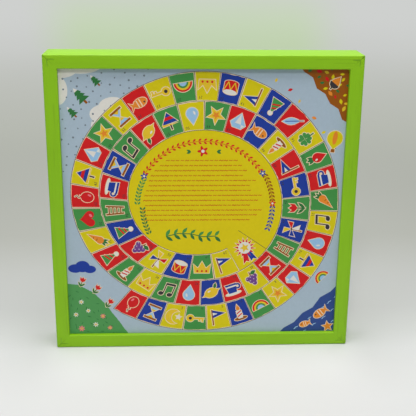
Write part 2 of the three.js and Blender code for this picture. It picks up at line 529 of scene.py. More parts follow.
@dataclass(frozen=True)
class PipPaint(Finish):
    """Dark paint that lies unevenly in the bottom of a drilled pip."""

    def sockets(self, graph: Graph) -> dict[str, Any]:
        """Nearly black, with a slight gloss that varies.

        Args:
            graph: The material's graph.

        Returns:
            Values and wires by socket name.
        """
        pooled = graph.noise(graph.place(), 1500.0, 3.0)
        return {
            "Base Color": graph.mix(pooled, linear((22, 20, 22)), linear((52, 46, 46))),
            "Roughness": 0.25 + 0.3 * pooled,
        }


@dataclass(frozen=True)
class StudioPaper(Finish):
    """Pale paper on the table that runs out into a backdrop, with painted shade that darkens it behind the
    object, most in the middle distance and a little less far off.
    """

    reach: Span = (-0.3, 4.7)
    # Painted shade and light along the paper: lighter just in front of the object, darker behind it and most in
    # the middle distance, a little lighter far off.
    tones: tuple[tuple[float, Colour], ...] = (
        (-0.22, (213, 214, 214)),
        (-0.06, (222, 223, 222)),
        (-0.024, (221, 222, 221)),
        (0.01, (210, 212, 209)),
        (0.07, (198, 200, 197)),
        (0.16, (191, 193, 189)),
        (0.3, (178, 180, 172)),
        (0.8, (180, 183, 174)),
        (2.2, (198, 200, 197)),
        (4.4, (206, 208, 206)),
    )
    fade: Span = (0.45, 1.1)
    horizon: Span = (1.5, 4.0)
    level: float = 0.8
    # Painted light: a strip as wide as the object, from just in front of it to behind it, is lightened against
    # the shade that the object casts on the paper.
    lift: float = 0.22
    lift_along: Span = (-0.13, -0.024)
    lift_across: Span = (0.11, 0.17)
    # Painted green bounce light from the lacquer on the paper behind the object: its tint, where it starts and
    # ends, and how wide it fans out.
    glow: tuple[float, float, float, float] = (0.9, 1.07, 0.74, 1.0)
    glow_start: Span = (1.7, 2.4)
    glow_end: Span = (1.9, 6.6)
    glow_across: Span = (0.12, 0.2)
    glow_fan: float = 0.76
    glow_lean: float = 0.015

    def surface(self, graph: Graph) -> Wire:
        """Paper that is lit where the object stands, with painted light close to the object, and even far from
        it.

        Args:
            graph: The material's graph.

        Returns:
            The shader.
        """
        across, along, _ = graph.split(graph.add("ShaderNodeTexCoord", output="Object"))
        low, high = self.reach
        stops = [((place - low) / (high - low), linear(tone)) for place, tone in self.tones]
        # The tones' painted shade and light, laid along the paper.
        tone = graph.add("ShaderNodeValToRGB", {"stops": stops}, {"Fac": (along - low) / (high - low)})
        cloud = graph.noise(graph.place(), 3.0, 2.0)
        # Painted light over the strip by the object, fading out beside it.
        near = graph.rise(along, self.lift_along)
        beside = graph.rise(graph.size(across), self.lift_across)
        level = self.level * (1 + self.lift * near * (1 - beside))
        colour = graph.mix(1.0, tone, level * (0.97 + 0.05 * cloud), "MULTIPLY")
        lit = graph.add("ShaderNodeBsdfPrincipled", None, {"Base Color": colour, "Roughness": 0.8}, "BSDF")
        seen = graph.shown()
        away = graph.maths("SQRT", across * across + along * along, 0.0)
        last = graph.mix(graph.rise(away, self.horizon), tone, linear(self.tones[-1][1]))
        # Painted green bounce light from the lacquer, tinting the paper behind the object.
        last = graph.mix(self.thrown_back(graph, across, along), last, self.glow, "MULTIPLY")
        even = graph.add("ShaderNodeEmission", None, {"Color": last, "Strength": 0.5 + 0.5 * seen})
        return graph.add("ShaderNodeMixShader", None, {0: graph.rise(away, self.fade), 1: lit, 2: even})

    def thrown_back(self, graph: Graph, across: Wire, along: Wire) -> Wire:
        """How strongly the painted green bounce light from the lacquer tints the paper behind the object.

        Args:
            graph: The material's graph.
            across: The place to the right of the object.
            along: The place behind the object.

        Returns:
            A share from 0 to 1.
        """
        aside = graph.size(across / (along + self.glow_fan) - self.glow_lean)
        behind = graph.rise(along, self.glow_start) * (1 - graph.rise(along, self.glow_end))
        return behind * (1 - graph.rise(aside, self.glow_across))


LIME = (134, 188, 8)
LACQUER_X = Lacquer("lime_lacquer_lying", LIME, Axis.X)
LACQUER_Z = Lacquer("lime_lacquer_standing", LIME, Axis.Z)
RACE_PAPER = PrintedPaper("race_print_paper")
LUDO_PAPER = PrintedPaper("ludo_print_paper")
BIRCH = Plywood("birch_plywood")
NAIL_STEEL = PaintedSteel("painted_nail_steel", (122, 176, 24))
BEECH = SandedBeech("sanded_beech")
PIPS = PipPaint("pip_paint")


# Outlines, in millimetres


def polar(radius: float, degrees: float) -> Point:
    """The point at a distance from the middle, some degrees round from the right."""
    return radius * math.cos(math.radians(degrees)), radius * math.sin(math.radians(degrees))


def moved(outline: Outline, x: float = 0.0, y: float = 0.0, turn: float = 0.0, scale: float = 1.0) -> Outline:
    """An outline scaled, turned by degrees and then moved."""
    c, s = polar(scale, turn)
    return [(x + c * p - s * q, y + s * p + c * q) for p, q in outline]


def spread(first: float, last: float, steps: int) -> list[float]:
    """Values in even steps, with both ends."""
    return [first + (last - first) * i / steps for i in range(steps + 1)]


def arc(x: float, y: float, radius: float, start: float, end: float, steps: int = 6) -> Outline:
    """Points along an arc between two angles in degrees."""
    return [(x + p, y + q) for p, q in (polar(radius, angle) for angle in spread(start, end, steps))]


def oval(
    x: float, y: float, wide: float, high: float | None = None, turn: float = 0.0, steps: int = 14
) -> Outline:
    """An ellipse.

    Args:
        x: Its middle.
        y: Its middle.
        wide: Half its width.
        high: Half its height, or None for a circle.
        turn: Degrees that it is turned by.
        steps: Points round it.

    Returns:
        The outline.
    """
    high = wide if high is None else high
    angles = [math.tau * i / steps for i in range(steps)]
    return moved([(wide * math.cos(a), high * math.sin(a)) for a in angles], x, y, turn)


def blade(x: float, y: float, length: float, wide: float, turn: float, steps: int = 6) -> Outline:
    """A leaf or petal that starts at a point and ends in one.

    Args:
        x: Its foot.
        y: Its foot.
        length: How long it is.
        wide: How wide it is in the middle.
        turn: The way it points, in degrees.
        steps: Points along each side.

    Returns:
        The outline.
    """
    side = [(length * s, -wide / 2 * math.sin(math.pi * s)) for s in spread(0, 1, steps)]
    return moved(side + [(p, -q) for p, q in side[-2:0:-1]], x, y, turn)


def star(x: float, y: float, outer: float, inner: float, points: int = 5) -> Outline:
    """A star that stands on two of its points."""
    ring = [polar(inner if i % 2 else outer, 180 * i / points) for i in range(2 * points)]
    return moved(ring, x, y, 90)


def box(left: float, low: float, right: float, high: float) -> Outline:
    """A rectangle."""
    return [(left, low), (right, low), (right, high), (left, high)]


def square(x: float, y: float, half: float) -> Outline:
    """A square round its middle."""
    return box(x - half, y - half, x + half, y + half)


def rounded(left: float, right: float, low: float, high: float, radius: float, steps: int = 6) -> Outline:
    """A rectangle with round corners.

    Args:
        left: Its left side.
        right: Its right side.
        low: Its lower side.
        high: Its upper side.
        radius: The corners' radius.
        steps: Steps of each corner.

    Returns:
        The outline, anticlockwise.
    """
    corners = [(right - radius, high - radius), (left + radius, high - radius)]
    corners += [(left + radius, low + radius), (right - radius, low + radius)]
    bends = [arc(x, y, radius, 90 * i, 90 * i + 90, steps) for i, (x, y) in enumerate(corners)]
    return [point for bend in bends for point in bend]


def bar(start: Point, end: Point, wide: float) -> Outline:
    """A straight stroke."""
    turn = math.degrees(math.atan2(end[1] - start[1], end[0] - start[0]))
    return moved(box(0, -wide / 2, math.dist(start, end), wide / 2), *start, turn)


def strokes(path: Outline, wide: float) -> list[Outline]:
    """A bent stroke, as one bar for each stretch of its path."""
    return [bar(a, b, wide) for a, b in zip(path, path[1:])]


def heart(x: float, y: float, size: float, turn: float = 0.0, steps: int = 22) -> Outline:
    """A heart, about two sizes high.

    Args:
        x: Its middle.
        y: Its middle.
        size: Half its width.
        turn: Degrees that it is turned by.
        steps: Points round it.

    Returns:
        The outline.
    """
    angles = [-math.tau * i / steps for i in range(steps)]
    side = [16 * math.sin(a) ** 3 for a in angles]
    rise = [13 * math.cos(a) - 5 * math.cos(2 * a) - 2 * math.cos(3 * a) - math.cos(4 * a) for a in angles]
    return moved(list(zip(side, rise)), x, y, turn, size / 16)


def crescent(x: float, y: float, radius: float, steps: int = 12) -> Outline:
    """A moon whose hollow faces right."""
    outer = arc(x, y, radius, 55, 305, steps)
    return outer + arc(outer[0][0], y, outer[0][1] - y, 270, 90, steps)[1:-1]


def drop(x: float, y: float, radius: float, tip: float, turn: float = 0.0, steps: int = 12) -> Outline:
    """A drop: a round belly with a point above it."""
    return moved([*arc(0, 0, radius, 150, 390, steps), (0, tip)], x, y, turn)


def blossom(radius: float, petals: int = 5, turn: float = 90.0, steps: int = 30) -> Outline:
    """A flower with round petals."""
    waves = [(360 * i / steps, math.cos(petals * math.tau * i / steps)) for i in range(steps)]
    return moved([polar(radius * (0.72 + 0.28 * wave), angle) for angle, wave in waves], turn=turn)


def half_disc(x: float, y: float, radius: float, steps: int = 12) -> Outline:
    """The upper half of a disc."""
    return arc(x, y, radius, 0, 180, steps)


def turns_left(outline: Outline) -> bool:
    """True if an outline runs anticlockwise."""
    return sum(a[0] * b[1] - b[0] * a[1] for a, b in zip(outline, outline[1:] + outline[:1])) > 0


def grown(outline: Outline, by: float) -> Outline:
    """An outline moved outwards.

    Args:
        outline: A closed outline, which may run either way.
        by: How far, with sharp corners held in.

    Returns:
        The larger outline, anticlockwise.
    """
    outline = outline if turns_left(outline) else outline[::-1]
    result = []
    for before, here, after in zip(outline[-1:] + outline[:-1], outline, outline[1:] + outline[:1]):
        first = Vector((here[1] - before[1], before[0] - here[0])).normalized()
        second = Vector((after[1] - here[1], here[0] - after[0])).normalized()
        middle = first + second
        reach = by / max(SHARPEST, middle.length / 2)
        push = middle.normalized() * reach if middle.length > SAME_POINT else first * by
        result.append((here[0] + push.x, here[1] + push.y))
    return result


# Printed pictures of the race cells, each about 14 mm across


Drawing = list[tuple[Ink, Outline]]


def inked(ink: Ink, *outlines: Outline) -> Drawing:
    """Several outlines in one ink."""
    return [(ink, outline) for outline in outlines]


GRAPE_PLACES = [(-3.1, 1.8), (0, 1.8), (3.1, 1.8), (-1.6, -0.9), (1.6, -0.9), (0, -3.6)]
SHELL_RIBS = [blade(0, -4.5, 10.5, 3.6, 90 + 27 * i) for i in (-2, 2, -1, 1, 0)]
SHELL_LINES = [bar((0, -4), moved([polar(9, a)], 0, -4)[0], 0.4) for a in (60, 78, 102, 120)]
CLOVER_LEAVES = [moved(heart(*polar(2.9, a), 2.9, a - 90), 0, 1) for a in (45, 135, 225, 315)]
TULIP_CUP = [(-3.6, 6), (-3.2, 1.6), (0, -0.8), (3.2, 1.6), (3.6, 6), (1.7, 3.8), (0, 6.4), (-1.7, 3.8)]
CROWN_RIM = [(-6, -4.5), (6, -4.5), (6.8, 3), (3.2, -0.4), (0, 5.4), (-3.2, -0.4), (-6.8, 3)]


class Motif(Enum):
    """The little pictures that the cells of the race can hold, each with its drawing."""

    HEART = inked(Ink.RED, heart(0, 0, 6.6)) + inked(Ink.PINK, oval(-2.6, 2.2, 1.6, 1.0, 35, 8))
    MOON = inked(Ink.GOLD, crescent(-0.5, 0, 6.6)) + inked(Ink.WHITE, star(3.6, 0.6, 2.4, 1.0))
    TULIP = (
        inked(Ink.LEAF, bar((0, -7), (0, 1), 1.1), *[blade(0, -6.5, 7, 2.4, a) for a in (52, 128)])
        + inked(Ink.RED, TULIP_CUP)
    )
    DROP = inked(Ink.LIGHT, drop(0, -1.6, 4.6, 8.6)) + inked(Ink.WHITE, oval(-1.7, -2, 0.8, 1.7, 20, 8))
    FISH = (
        inked(Ink.ORANGE, [(3.4, 0), (7.2, 3.6), (6, 0), (7.2, -3.6)], oval(-0.8, 0, 5.6, 3.4))
        + inked(Ink.CREAM, bar((-1.2, -3), (-1.2, 3), 0.8), bar((1.2, -2.8), (1.2, 2.8), 0.8))
        + inked(Ink.LINE, oval(-4, 0.9, 0.7, steps=8))
    )
    KEY = (
        inked(Ink.GOLD, bar((-2, 0), (7, 0), 1.5), bar((5.8, 0), (5.8, -3), 1.3))
        + inked(Ink.GOLD, bar((3.4, 0), (3.4, -2.3), 1.3), oval(-4.2, 0, 3.2))
        + inked(Ink.LINE, oval(-4.2, 0, 1.4, steps=10))
    )
    CROWN = (
        inked(Ink.GOLD, CROWN_RIM)
        + inked(Ink.RED, *[oval(x, -2.8, 0.9, steps=8) for x in (-3.6, 0, 3.6)])
    )
    BALLOON = (
        inked(Ink.LINE, *strokes([(0, -2.6), (0.8, -4.4), (-0.6, -5.8), (0.3, -7.4)], 0.5))
        + inked(Ink.RED, [(-1, -3.6), (1, -3.6), (0, -2)], oval(0, 2.2, 4.2, 5))
        + inked(Ink.PINK, oval(-1.6, 3.8, 0.8, 1.6, -20, 8))
    )
    CLOVER = inked(Ink.LEAF, bar((0.4, -7), (0, -1), 1)) + inked(Ink.GREEN, *CLOVER_LEAVES)
    GEM = (
        inked(Ink.LIGHT, [(-6, 2), (0, -6.4), (6, 2), (3.4, 5.4), (-3.4, 5.4)])
        + inked(Ink.WHITE, [(-2.4, 2), (0, -6), (2.4, 2)], [(-3.2, 5), (-5.4, 2.2), (-2.6, 2.2)])
    )
    LEMON = (
        inked(Ink.LEAF, blade(2.6, 3, 5.6, 2.6, 75))
        + inked(Ink.GOLD, blade(-7, -3.4, 15.6, 4, 25), oval(0, 0, 5.6, 4, 25))
        + inked(Ink.WHITE, oval(-1.6, 1.2, 1.4, 0.7, 25, 8))
    )
    CANDLE = (
        inked(Ink.BROWN, oval(0, -5.4, 5.4, 1.5)) + inked(Ink.WHITE, box(-2, -5.4, 2, 1.6))
        + inked(Ink.RED, bar((-2, -3.4), (2, -1.4), 1), bar((-2, -0.6), (2, 1.2), 1))
        + inked(Ink.ORANGE, drop(0, 3.6, 1.5, 3.8))
    )
    CUP = (
        inked(Ink.WHITE, oval(-0.6, -4.6, 6.4, 1.3)) + inked(Ink.BLUE, oval(4.4, 0.8, 2.5))
        + inked(Ink.CREAM, oval(4.4, 0.8, 1.2, steps=10))
        + inked(Ink.BLUE, [(-4, -4), (2.6, -4), (4, 3.8), (-5.4, 3.8)])
        + inked(Ink.WHITE, box(-5, 1, 3.6, 2.2))
    )
    CARROT = (
        inked(Ink.LEAF, *[blade(1.8, 2.6, r, 1.9, a) for r, a in ((6, 20), (6.4, 48), (6, 76))])
        + inked(Ink.ORANGE, drop(1.4, 2, 3, 11, 135))
        + inked(Ink.BROWN, bar((-0.6, 0.4), (0.8, -0.9), 0.5), bar((-2.6, -1.8), (-1.4, -2.8), 0.5))
    )
    GRAPES = (
        inked(Ink.BROWN, bar((0, 2), (0.6, 6.8), 0.9))
        + inked(Ink.LEAF, blade(0.4, 4.6, 5.6, 3.2, 10))
        + inked(Ink.PURPLE, *[oval(x, y, 1.9, steps=12) for x, y in GRAPE_PLACES])
        + inked(Ink.WHITE, *[oval(x - 0.6, y + 0.6, 0.4, steps=6) for x, y in GRAPE_PLACES])
    )
    DRUM = (
        inked(Ink.RED, oval(0, -4, 5.2, 1.8), box(-5.2, -4, 5.2, 3))
        + inked(Ink.GOLD, *strokes([(-5, 2), (-2.5, -4.6), (0, 1.4), (2.5, -4.6), (5, 2)], 0.7))
        + inked(Ink.WHITE, oval(0, 3, 5.2, 1.9))
    )
    HOURGLASS = (
        inked(Ink.LIGHT, [(-4, 5), (4, 5), (0, 0)][::-1], [(-4, -5), (4, -5), (0, 0)])
        + inked(Ink.GOLD, [(-2.6, -5), (2.6, -5), (0, -2.4)], [(-2, 2.6), (2, 2.6), (0, 0.2)][::-1])
        + inked(Ink.BROWN, box(-5.2, 4.8, 5.2, 6.4), box(-5.2, -6.4, 5.2, -4.8))
    )
    SPINNING_TOP = (
        inked(Ink.LINE, bar((0, 2), (0, 6.8), 1.2))
        + inked(Ink.BLUE, [(-6, 1.6), (0, -7), (6, 1.6)])
        + inked(Ink.RED, [(-4, -1.2), (-2.4, -3.6), (2.4, -3.6), (4, -1.2)])
        + inked(Ink.GOLD, [(6.2, 1.2), (6.2, 1), (6.2, 3), (-6.2, 3)])
    )
    PENNANT = (
        inked(Ink.BROWN, bar((-4, -7), (-4, 7), 1.1))
        + inked(Ink.BLUE, [(-3.6, 6.6), (-3.6, -0.4), (6.6, 3.1)])
        + inked(Ink.WHITE, [(-3.6, 4.4), (-3.6, 1.8), (0.4, 3.1)])
    )
    LADDER = (
        inked(Ink.BROWN, bar((-3.4, -7), (-2.4, 7), 1.2), bar((3.4, -7), (2.4, 7), 1.2))
        + inked(Ink.BROWN, *[bar((-3, y), (3, y), 1) for y in (-4.6, -1.6, 1.4, 4.4)])
    )
    NOTES = (
        inked(Ink.LINE, oval(-3.6, -4.4, 2.2, 1.7, 20), oval(3.4, -3.4, 2.2, 1.7, 20))
        + inked(Ink.LINE, bar((-1.9, -4), (-1.9, 5), 0.9), bar((5.1, -3), (5.1, 6), 0.9))
        + inked(Ink.LINE, bar((-2.3, 4.8), (5.5, 6), 1.8))
    )
    STAR = inked(Ink.GOLD, star(0, -0.3, 7.2, 3.1)) + inked(Ink.ORANGE, star(0, -0.3, 3.4, 1.5))
    PINWHEEL = (
        inked(Ink.BROWN, bar((0, -7.4), (0, 1), 1))
        + inked(Ink.RED, [(0, 1), (5.6, 1), (5.6, 5.2)]) + inked(Ink.GOLD, [(0, 1), (0, 6.8), (-4.2, 6.8)])
        + inked(Ink.BLUE, [(0, 1), (-5.6, 1), (-5.6, -3.2)])
        + inked(Ink.WHITE, [(0, 1), (0, -4.8), (4.2, -4.8)])
        + inked(Ink.LINE, oval(0, 1, 0.8, steps=8))
    )
    SHELL = (
        inked(Ink.PINK, *SHELL_RIBS, oval(0, 1.6, 3.6)) + inked(Ink.WHITE, oval(0, -4.6, 2.2, 1.3))
        + inked(Ink.RED, *SHELL_LINES)
    )
    FEATHER = (
        inked(Ink.LIGHT, blade(-4.4, -4.4, 13.6, 5.4, 45))
        + inked(Ink.BLUE, bar((-6.4, -6.4), (3.6, 3.6), 0.6))
    )
    RADISH = (
        inked(Ink.LEAF, *[blade(0, 2, r, 2.4, a) for r, a in ((5.6, 62), (6, 90), (5.6, 118))])
        + inked(Ink.RED, drop(0, -0.6, 3.9, 7.4, 180)) + inked(Ink.WHITE, oval(-1.4, 0.6, 0.7, 1.2, 20, 8))
    )
    RAINBOW = (
        inked(Ink.RED, half_disc(0, -3.4, 7)) + inked(Ink.GOLD, half_disc(0, -3.4, 5.6))
        + inked(Ink.GREEN, half_disc(0, -3.4, 4.2)) + inked(Ink.LIGHT, half_disc(0, -3.4, 2.8))
    )
    PARTY_HAT = (
        inked(Ink.GREEN, [(-4.6, -5.6), (4.6, -5.6), (0, 5.6)])
        + inked(Ink.RED, bar((-3.6, -3.2), (2.4, -0.6), 1.2), bar((-2, 0.4), (1.2, 2), 1.2))
        + inked(Ink.WHITE, oval(0, 5.6, 1.7, steps=10))
    )


DIGITS: dict[str, Outline] = {
    "0": [(0, 1), (0, 3), (1, 4), (2, 3), (2, 1), (1, 0), (0, 1)],
    "1": [(0, 3), (1, 4), (1, 0)],
    "2": [(0, 3), (1, 4), (2, 3), (0, 0), (2, 0)],
    "3": [(0, 4), (2, 4), (1, 2.4), (2, 1.2), (1, 0), (0, 0.5)],
    "4": [(1.5, 0), (1.5, 4), (0, 1.2), (2, 1.2)],
    "5": [(2, 4), (0, 4), (0, 2.4), (1.5, 2.4), (2, 1.2), (1, 0), (0, 0.4)],
    "6": [(1.6, 4), (0, 1.8), (0.2, 0.6), (1, 0), (2, 0.8), (1.7, 2), (0, 1.8)],
    "7": [(0, 4), (2, 4), (0.7, 0)],
    "8": [(1, 2), (0, 3), (1, 4), (2, 3), (1, 2), (0, 1), (1, 0), (2, 1), (1, 2)],
    "9": [(0.4, 0), (2, 2.2), (1.8, 3.4), (1, 4), (0, 3.2), (0.3, 2), (2, 2.2)],
}
DIGIT_STEP = 3.2
DIGIT_GAP = 1.2
DIGIT_HEIGHT = 4.0


def number_strokes(value: int, height: float, wide: float) -> list[Outline]:
    """A plain number as strokes, centred on its middle.

    Args:
        value: The number.
        height: How high its digits are.
        wide: How wide a stroke is.

    Returns:
        One outline for each stroke.
    """
    scale = height / DIGIT_HEIGHT
    text = str(value)
    left = -(DIGIT_STEP * len(text) - DIGIT_GAP) / 2
    result = []
    for place, digit in enumerate(text):
        path = [(left + DIGIT_STEP * place + x, y - DIGIT_HEIGHT / 2) for x, y in DIGITS[digit]]
        result += strokes([(scale * x, scale * y) for x, y in path], wide)
    return result


# Meshes


def mesh_of(
    name: str,
    vertices: Iterable[Vector | tuple],
    faces: Iterable[Iterable[int]],
    edges: Iterable[tuple[int, int]] = (),
) -> bpy.types.Mesh:
    """A mesh from its parts.

    Args:
        name: The mesh's name.
        vertices: Its points.
        faces: The points of each face.
        edges: The ends of each loose edge.

    Returns:
        The mesh.
    """
    mesh = bpy.data.meshes.new(name)
    mesh.from_pydata([tuple(v) for v in vertices], list(edges), [tuple(f) for f in faces])
    return mesh


def path_mesh(points: Outline) -> bpy.types.Mesh:
    """A mesh of edges along a flat path."""
    edges = [(i, i + 1) for i in range(len(points) - 1)]
    return mesh_of("path", [(x, y, 0.0) for x, y in points], [], edges)


def area_mesh(outline: Outline) -> bpy.types.Mesh:
    """A mesh of one flat face."""
    return mesh_of("area", [(x, y, 0.0) for x, y in outline], [range(len(outline))])


def object_of(name: str, mesh: bpy.types.Mesh) -> bpy.types.Object:
    """An object at the origin that shows a mesh.

    Args:
        name: The object's name.
        mesh: Its mesh.

    Returns:
        The object, which is in the scene.
    """
    made = bpy.data.objects.new(name, mesh)
    bpy.context.scene.collection.objects.link(made)
    return made


def evaluated(thing: bpy.types.Object) -> bpy.types.Mesh:
    """A plain mesh of an object with its modifiers worked in."""
    graph = bpy.context.evaluated_depsgraph_get()
    return bpy.data.meshes.new_from_object(thing.evaluated_get(graph))


def discard(thing: bpy.types.Object) -> None:
    """Removes a helper object and its mesh.

    Args:
        thing: The object.
    """
    mesh = thing.data
    bpy.data.objects.remove(thing)
    bpy.data.meshes.remove(mesh)


def work(body: bpy.types.Object, tool: bpy.types.Mesh, cut: Cut) -> None:
    """Works a solid with another one, which is used up.

    Args:
        body: The solid to change.
        tool: The other solid.
        cut: What is done.
    """
    helper = object_of("tool", tool)
    modifier = body.modifiers.new("work", "BOOLEAN")
    modifier.operation = cut.value
    modifier.solver = "EXACT"
    modifier.material_mode = "TRANSFER"
    modifier.object = helper
    before = body.data
    after = evaluated(body)
    body.modifiers.clear()
    body.data = after
    bpy.data.meshes.remove(before)
    discard(helper)


def smoothed(mesh: bpy.types.Mesh) -> None:
    """Shades the rounded parts of a mesh smooth and keeps its real edges sharp."""
    mesh.polygons.foreach_set("use_smooth", [True] * len(mesh.polygons))
    mesh.set_sharp_from_angle(angle=SMOOTH_BELOW)


def turned_out(mesh: bpy.types.Mesh) -> None:
    """Merges a mesh's doubles and points its faces outwards.

    Args:
        mesh: The mesh, which is changed.
    """
    shape = bmesh.new()
    shape.from_mesh(mesh)
    bmesh.ops.remove_doubles(shape, verts=shape.verts, dist=DOUBLE)
    bmesh.ops.recalc_face_normals(shape, faces=shape.faces)
    shape.to_mesh(mesh)
    shape.free()


def loft(name: str, rings: list[list[Vector]]) -> bpy.types.Mesh:
    """A closed solid through rings, with a flat face at each end.

    Args:
        name: The mesh's name.
        rings: Rings of equal length, in order.

    Returns:
        The solid.
    """
    count = len(rings[0])
    last = (len(rings) - 1) * count
    faces: list[list[int]] = []
    for low in range(0, last, count):
        for i in range(count):
            j = (i + 1) % count
            faces.append([low + i, low + j, low + count + j, low + count + i])
    faces.append(list(range(count))[::-1])
    faces.append([last + i for i in range(count)])
    mesh = mesh_of(name, [point for ring in rings for point in ring], faces)
    turned_out(mesh)
    return mesh


def add_piece(piece: bpy.types.Object, body: str, nodes: Iterable[str]) -> None:
    """Hands a finished piece to the frame and reports it.

    Args:
        piece: The piece.
        body: The body that carries it.
        nodes: The solids that it stands for.
    """
    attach(piece, body)
    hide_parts(*nodes)
    LOG.info("%s: %d faces on %s", piece.name, len(piece.data.polygons), body)


# Geometry Nodes


class NodeTool:
    """A Geometry Nodes tree with named inputs, which ends in real geometry with a material."""

    def __init__(self, name: str, inputs: dict[str, str]) -> None:
        """Starts the tree.

        Args:
            name: The tree's name.
            inputs: The kind of value that each named input takes.
        """
        self.tree = bpy.data.node_groups.new(name, "GeometryNodeTree")
        self.graph = Graph(self.tree)
        self.keys: dict[str, str] = {}
        for label, kind in {"Geometry": "Geometry", **inputs, "Material": "Material"}.items():
            made = self.tree.interface.new_socket(label, in_out="INPUT", socket_type="NodeSocket" + kind)
            self.keys[label] = made.identifier
        self.tree.interface.new_socket("Geometry", in_out="OUTPUT", socket_type="NodeSocketGeometry")
        self.start = self.graph.add("NodeGroupInput")
        self.finish(self.copies())

    def copies(self) -> Wire:
        """The copies that the tool makes, which each tool says for itself."""
        raise NotImplementedError

    def value(self, label: str) -> Wire:
        """A named input."""
        return self.start.other(label)

    def finish(self, copies: Wire) -> None:
        """Ends the tree in real geometry with its material.

        Args:
            copies: What the tool makes.
        """
        real = self.graph.add("GeometryNodeRealizeInstances", None, {"Geometry": copies})
        values = {"Geometry": real, "Material": self.value("Material")}
        dressed = self.graph.add("GeometryNodeSetMaterial", None, values)
        self.graph.add("NodeGroupOutput", None, {"Geometry": dressed})

    def shape(self, label: str) -> Wire:
        """The geometry of an object input."""
        return self.graph.add("GeometryNodeObjectInfo", None, {"Object": self.value(label)}, "Geometry")

    def on_points(self, points: Wire, shape: Wire, **more: Wire) -> Wire:
        """A copy of a shape at every point, turned and scaled as more inputs say."""
        values = {"Points": points, "Instance": shape, **more}
        return self.graph.add("GeometryNodeInstanceOnPoints", None, values)

    def chance(self, low: str, high: str) -> Wire:
        """A random number for each copy, between two named inputs."""
        values = {2: self.value(low), 3: self.value(high), "Seed": self.value("Seed")}
        return self.graph.add("FunctionNodeRandomValue", {"data_type": "FLOAT"}, values, 1)

    def run(self, carrier: bpy.types.Mesh, finish: Finish, values: dict[str, Any]) -> bpy.types.Mesh:
        """Runs the tree on a mesh.

        Args:
            carrier: The mesh that it starts from, which is used up.
            finish: The finish of what it makes.
            values: Values for the named inputs. A mesh is lent to the tree as an object.

        Returns:
            What it made, as a plain mesh.
        """
        thing = object_of("carrier", carrier)
        modifier = thing.modifiers.new("nodes", "NODES")
        modifier.node_group = self.tree
        helpers = {k: object_of(k, v) for k, v in values.items() if isinstance(v, bpy.types.Mesh)}
        for label, given in {**values, **helpers, "Material": finish.material()}.items():
            modifier[self.keys[label]] = given
        made = evaluated(thing)
        thing.modifiers.clear()
        for helper in [thing, *helpers.values()]:
            discard(helper)
        return made


class RowTool(NodeTool):
    """Copies of a flat shape in a row along a path."""

    def __init__(self) -> None:
        """Names the inputs."""
        kinds = {"Shape": "Object", "Count": "Int", "Smallest": "Float", "Largest": "Float", "Seed": "Int"}
        super().__init__("row_along_path", kinds)

    def copies(self) -> Wire:
        """Even steps along the path, with each copy turned to follow it.

        Returns:
            The copies.
        """
        curve = self.graph.add("GeometryNodeMeshToCurve", None, {"Mesh": self.value("Geometry")})
        values = {"Curve": curve, "Count": self.value("Count")}
        steps = self.graph.add("GeometryNodeResampleCurve", {"mode": "COUNT"}, values)
        along = self.graph.add("GeometryNodeInputTangent")
        turn = self.graph.add("FunctionNodeAlignRotationToVector", {"axis": "X"}, {"Vector": along})
        size = self.chance("Smallest", "Largest")
        return self.on_points(steps, self.shape("Shape"), Rotation=turn, Scale=size)


class ScatterTool(NodeTool):
    """Copies of a flat shape scattered over an area, none too near another."""

    def __init__(self) -> None:
        """Names the inputs."""
        kinds = {"Shape": "Object", "Apart": "Float", "Smallest": "Float", "Largest": "Float", "Seed": "Int"}
        super().__init__("scatter_on_area", kinds)

    def copies(self) -> Wire:
        """Points with room between them, each copy turned by chance.

        Returns:
            The copies.
        """
        seed = self.value("Seed")
        values = {"Mesh": self.value("Geometry"), "Distance Min": self.value("Apart"), "Density Max": 1.0}
        settings = {"distribute_method": "POISSON"}
        points = self.graph.add("GeometryNodeDistributePointsOnFaces", settings, {**values, "Seed": seed})
        turns = {0: (0.0, 0.0, 0.0), 1: (0.0, 0.0, math.tau), "Seed": seed}
        euler = self.graph.add("FunctionNodeRandomValue", {"data_type": "FLOAT_VECTOR"}, turns, 0)
        turn = self.graph.add("FunctionNodeEulerToRotation", None, {"Euler": euler})
        size = self.chance("Smallest", "Largest")
        return self.on_points(points, self.shape("Shape"), Rotation=turn, Scale=size)


class LatheTool(NodeTool):
    """Turned pieces: a profile swept round an upright axis at every point of the carrier."""

    def __init__(self) -> None:
        """Names the inputs."""
        super().__init__("turned_at_points", {"Profile": "Object", "Ring": "Float", "Sides": "Int"})

    def copies(self) -> Wire:
        """The turned shape, once for each point.

        Returns:
            The copies.
        """
        values = {"Resolution": self.value("Sides"), "Radius": self.value("Ring")}
        ring = self.graph.add("GeometryNodeCurvePrimitiveCircle", {"mode": "RADIUS"}, values)
        profile = self.graph.add("GeometryNodeMeshToCurve", None, {"Mesh": self.shape("Profile")})
        swept = self.graph.add("GeometryNodeCurveToMesh", None, {"Curve": ring, "Profile Curve": profile})
        closed = self.graph.add("GeometryNodeMergeByDistance", None, {"Geometry": swept, "Distance": SEAM})
        return self.on_points(self.value("Geometry"), closed)


class BallTool(NodeTool):
    """Small balls at every point of the carrier, such as the tips of a pip cutter."""

    def __init__(self) -> None:
        """Names the inputs."""
        super().__init__("balls_at_points", {"Radius": "Float"})

    def copies(self) -> Wire:
        """One ball for each point.

        Returns:
            The copies.
        """
        values = {"Segments": 20, "Rings": 12, "Radius": self.value("Radius")}
        ball = self.graph.add("GeometryNodeMeshUVSphere", None, values)
        return self.on_points(self.value("Geometry"), ball)


def flat_outlines(mesh: bpy.types.Mesh) -> list[Outline]:
    """The outlines of a flat mesh's faces.

    Args:
        mesh: The mesh, which is used up.

    Returns:
        One outline for each face.
    """
    result = [[tuple(mesh.vertices[i].co.xy) for i in face.vertices] for face in mesh.polygons]
    bpy.data.meshes.remove(mesh)
    return result


# The printed sheets


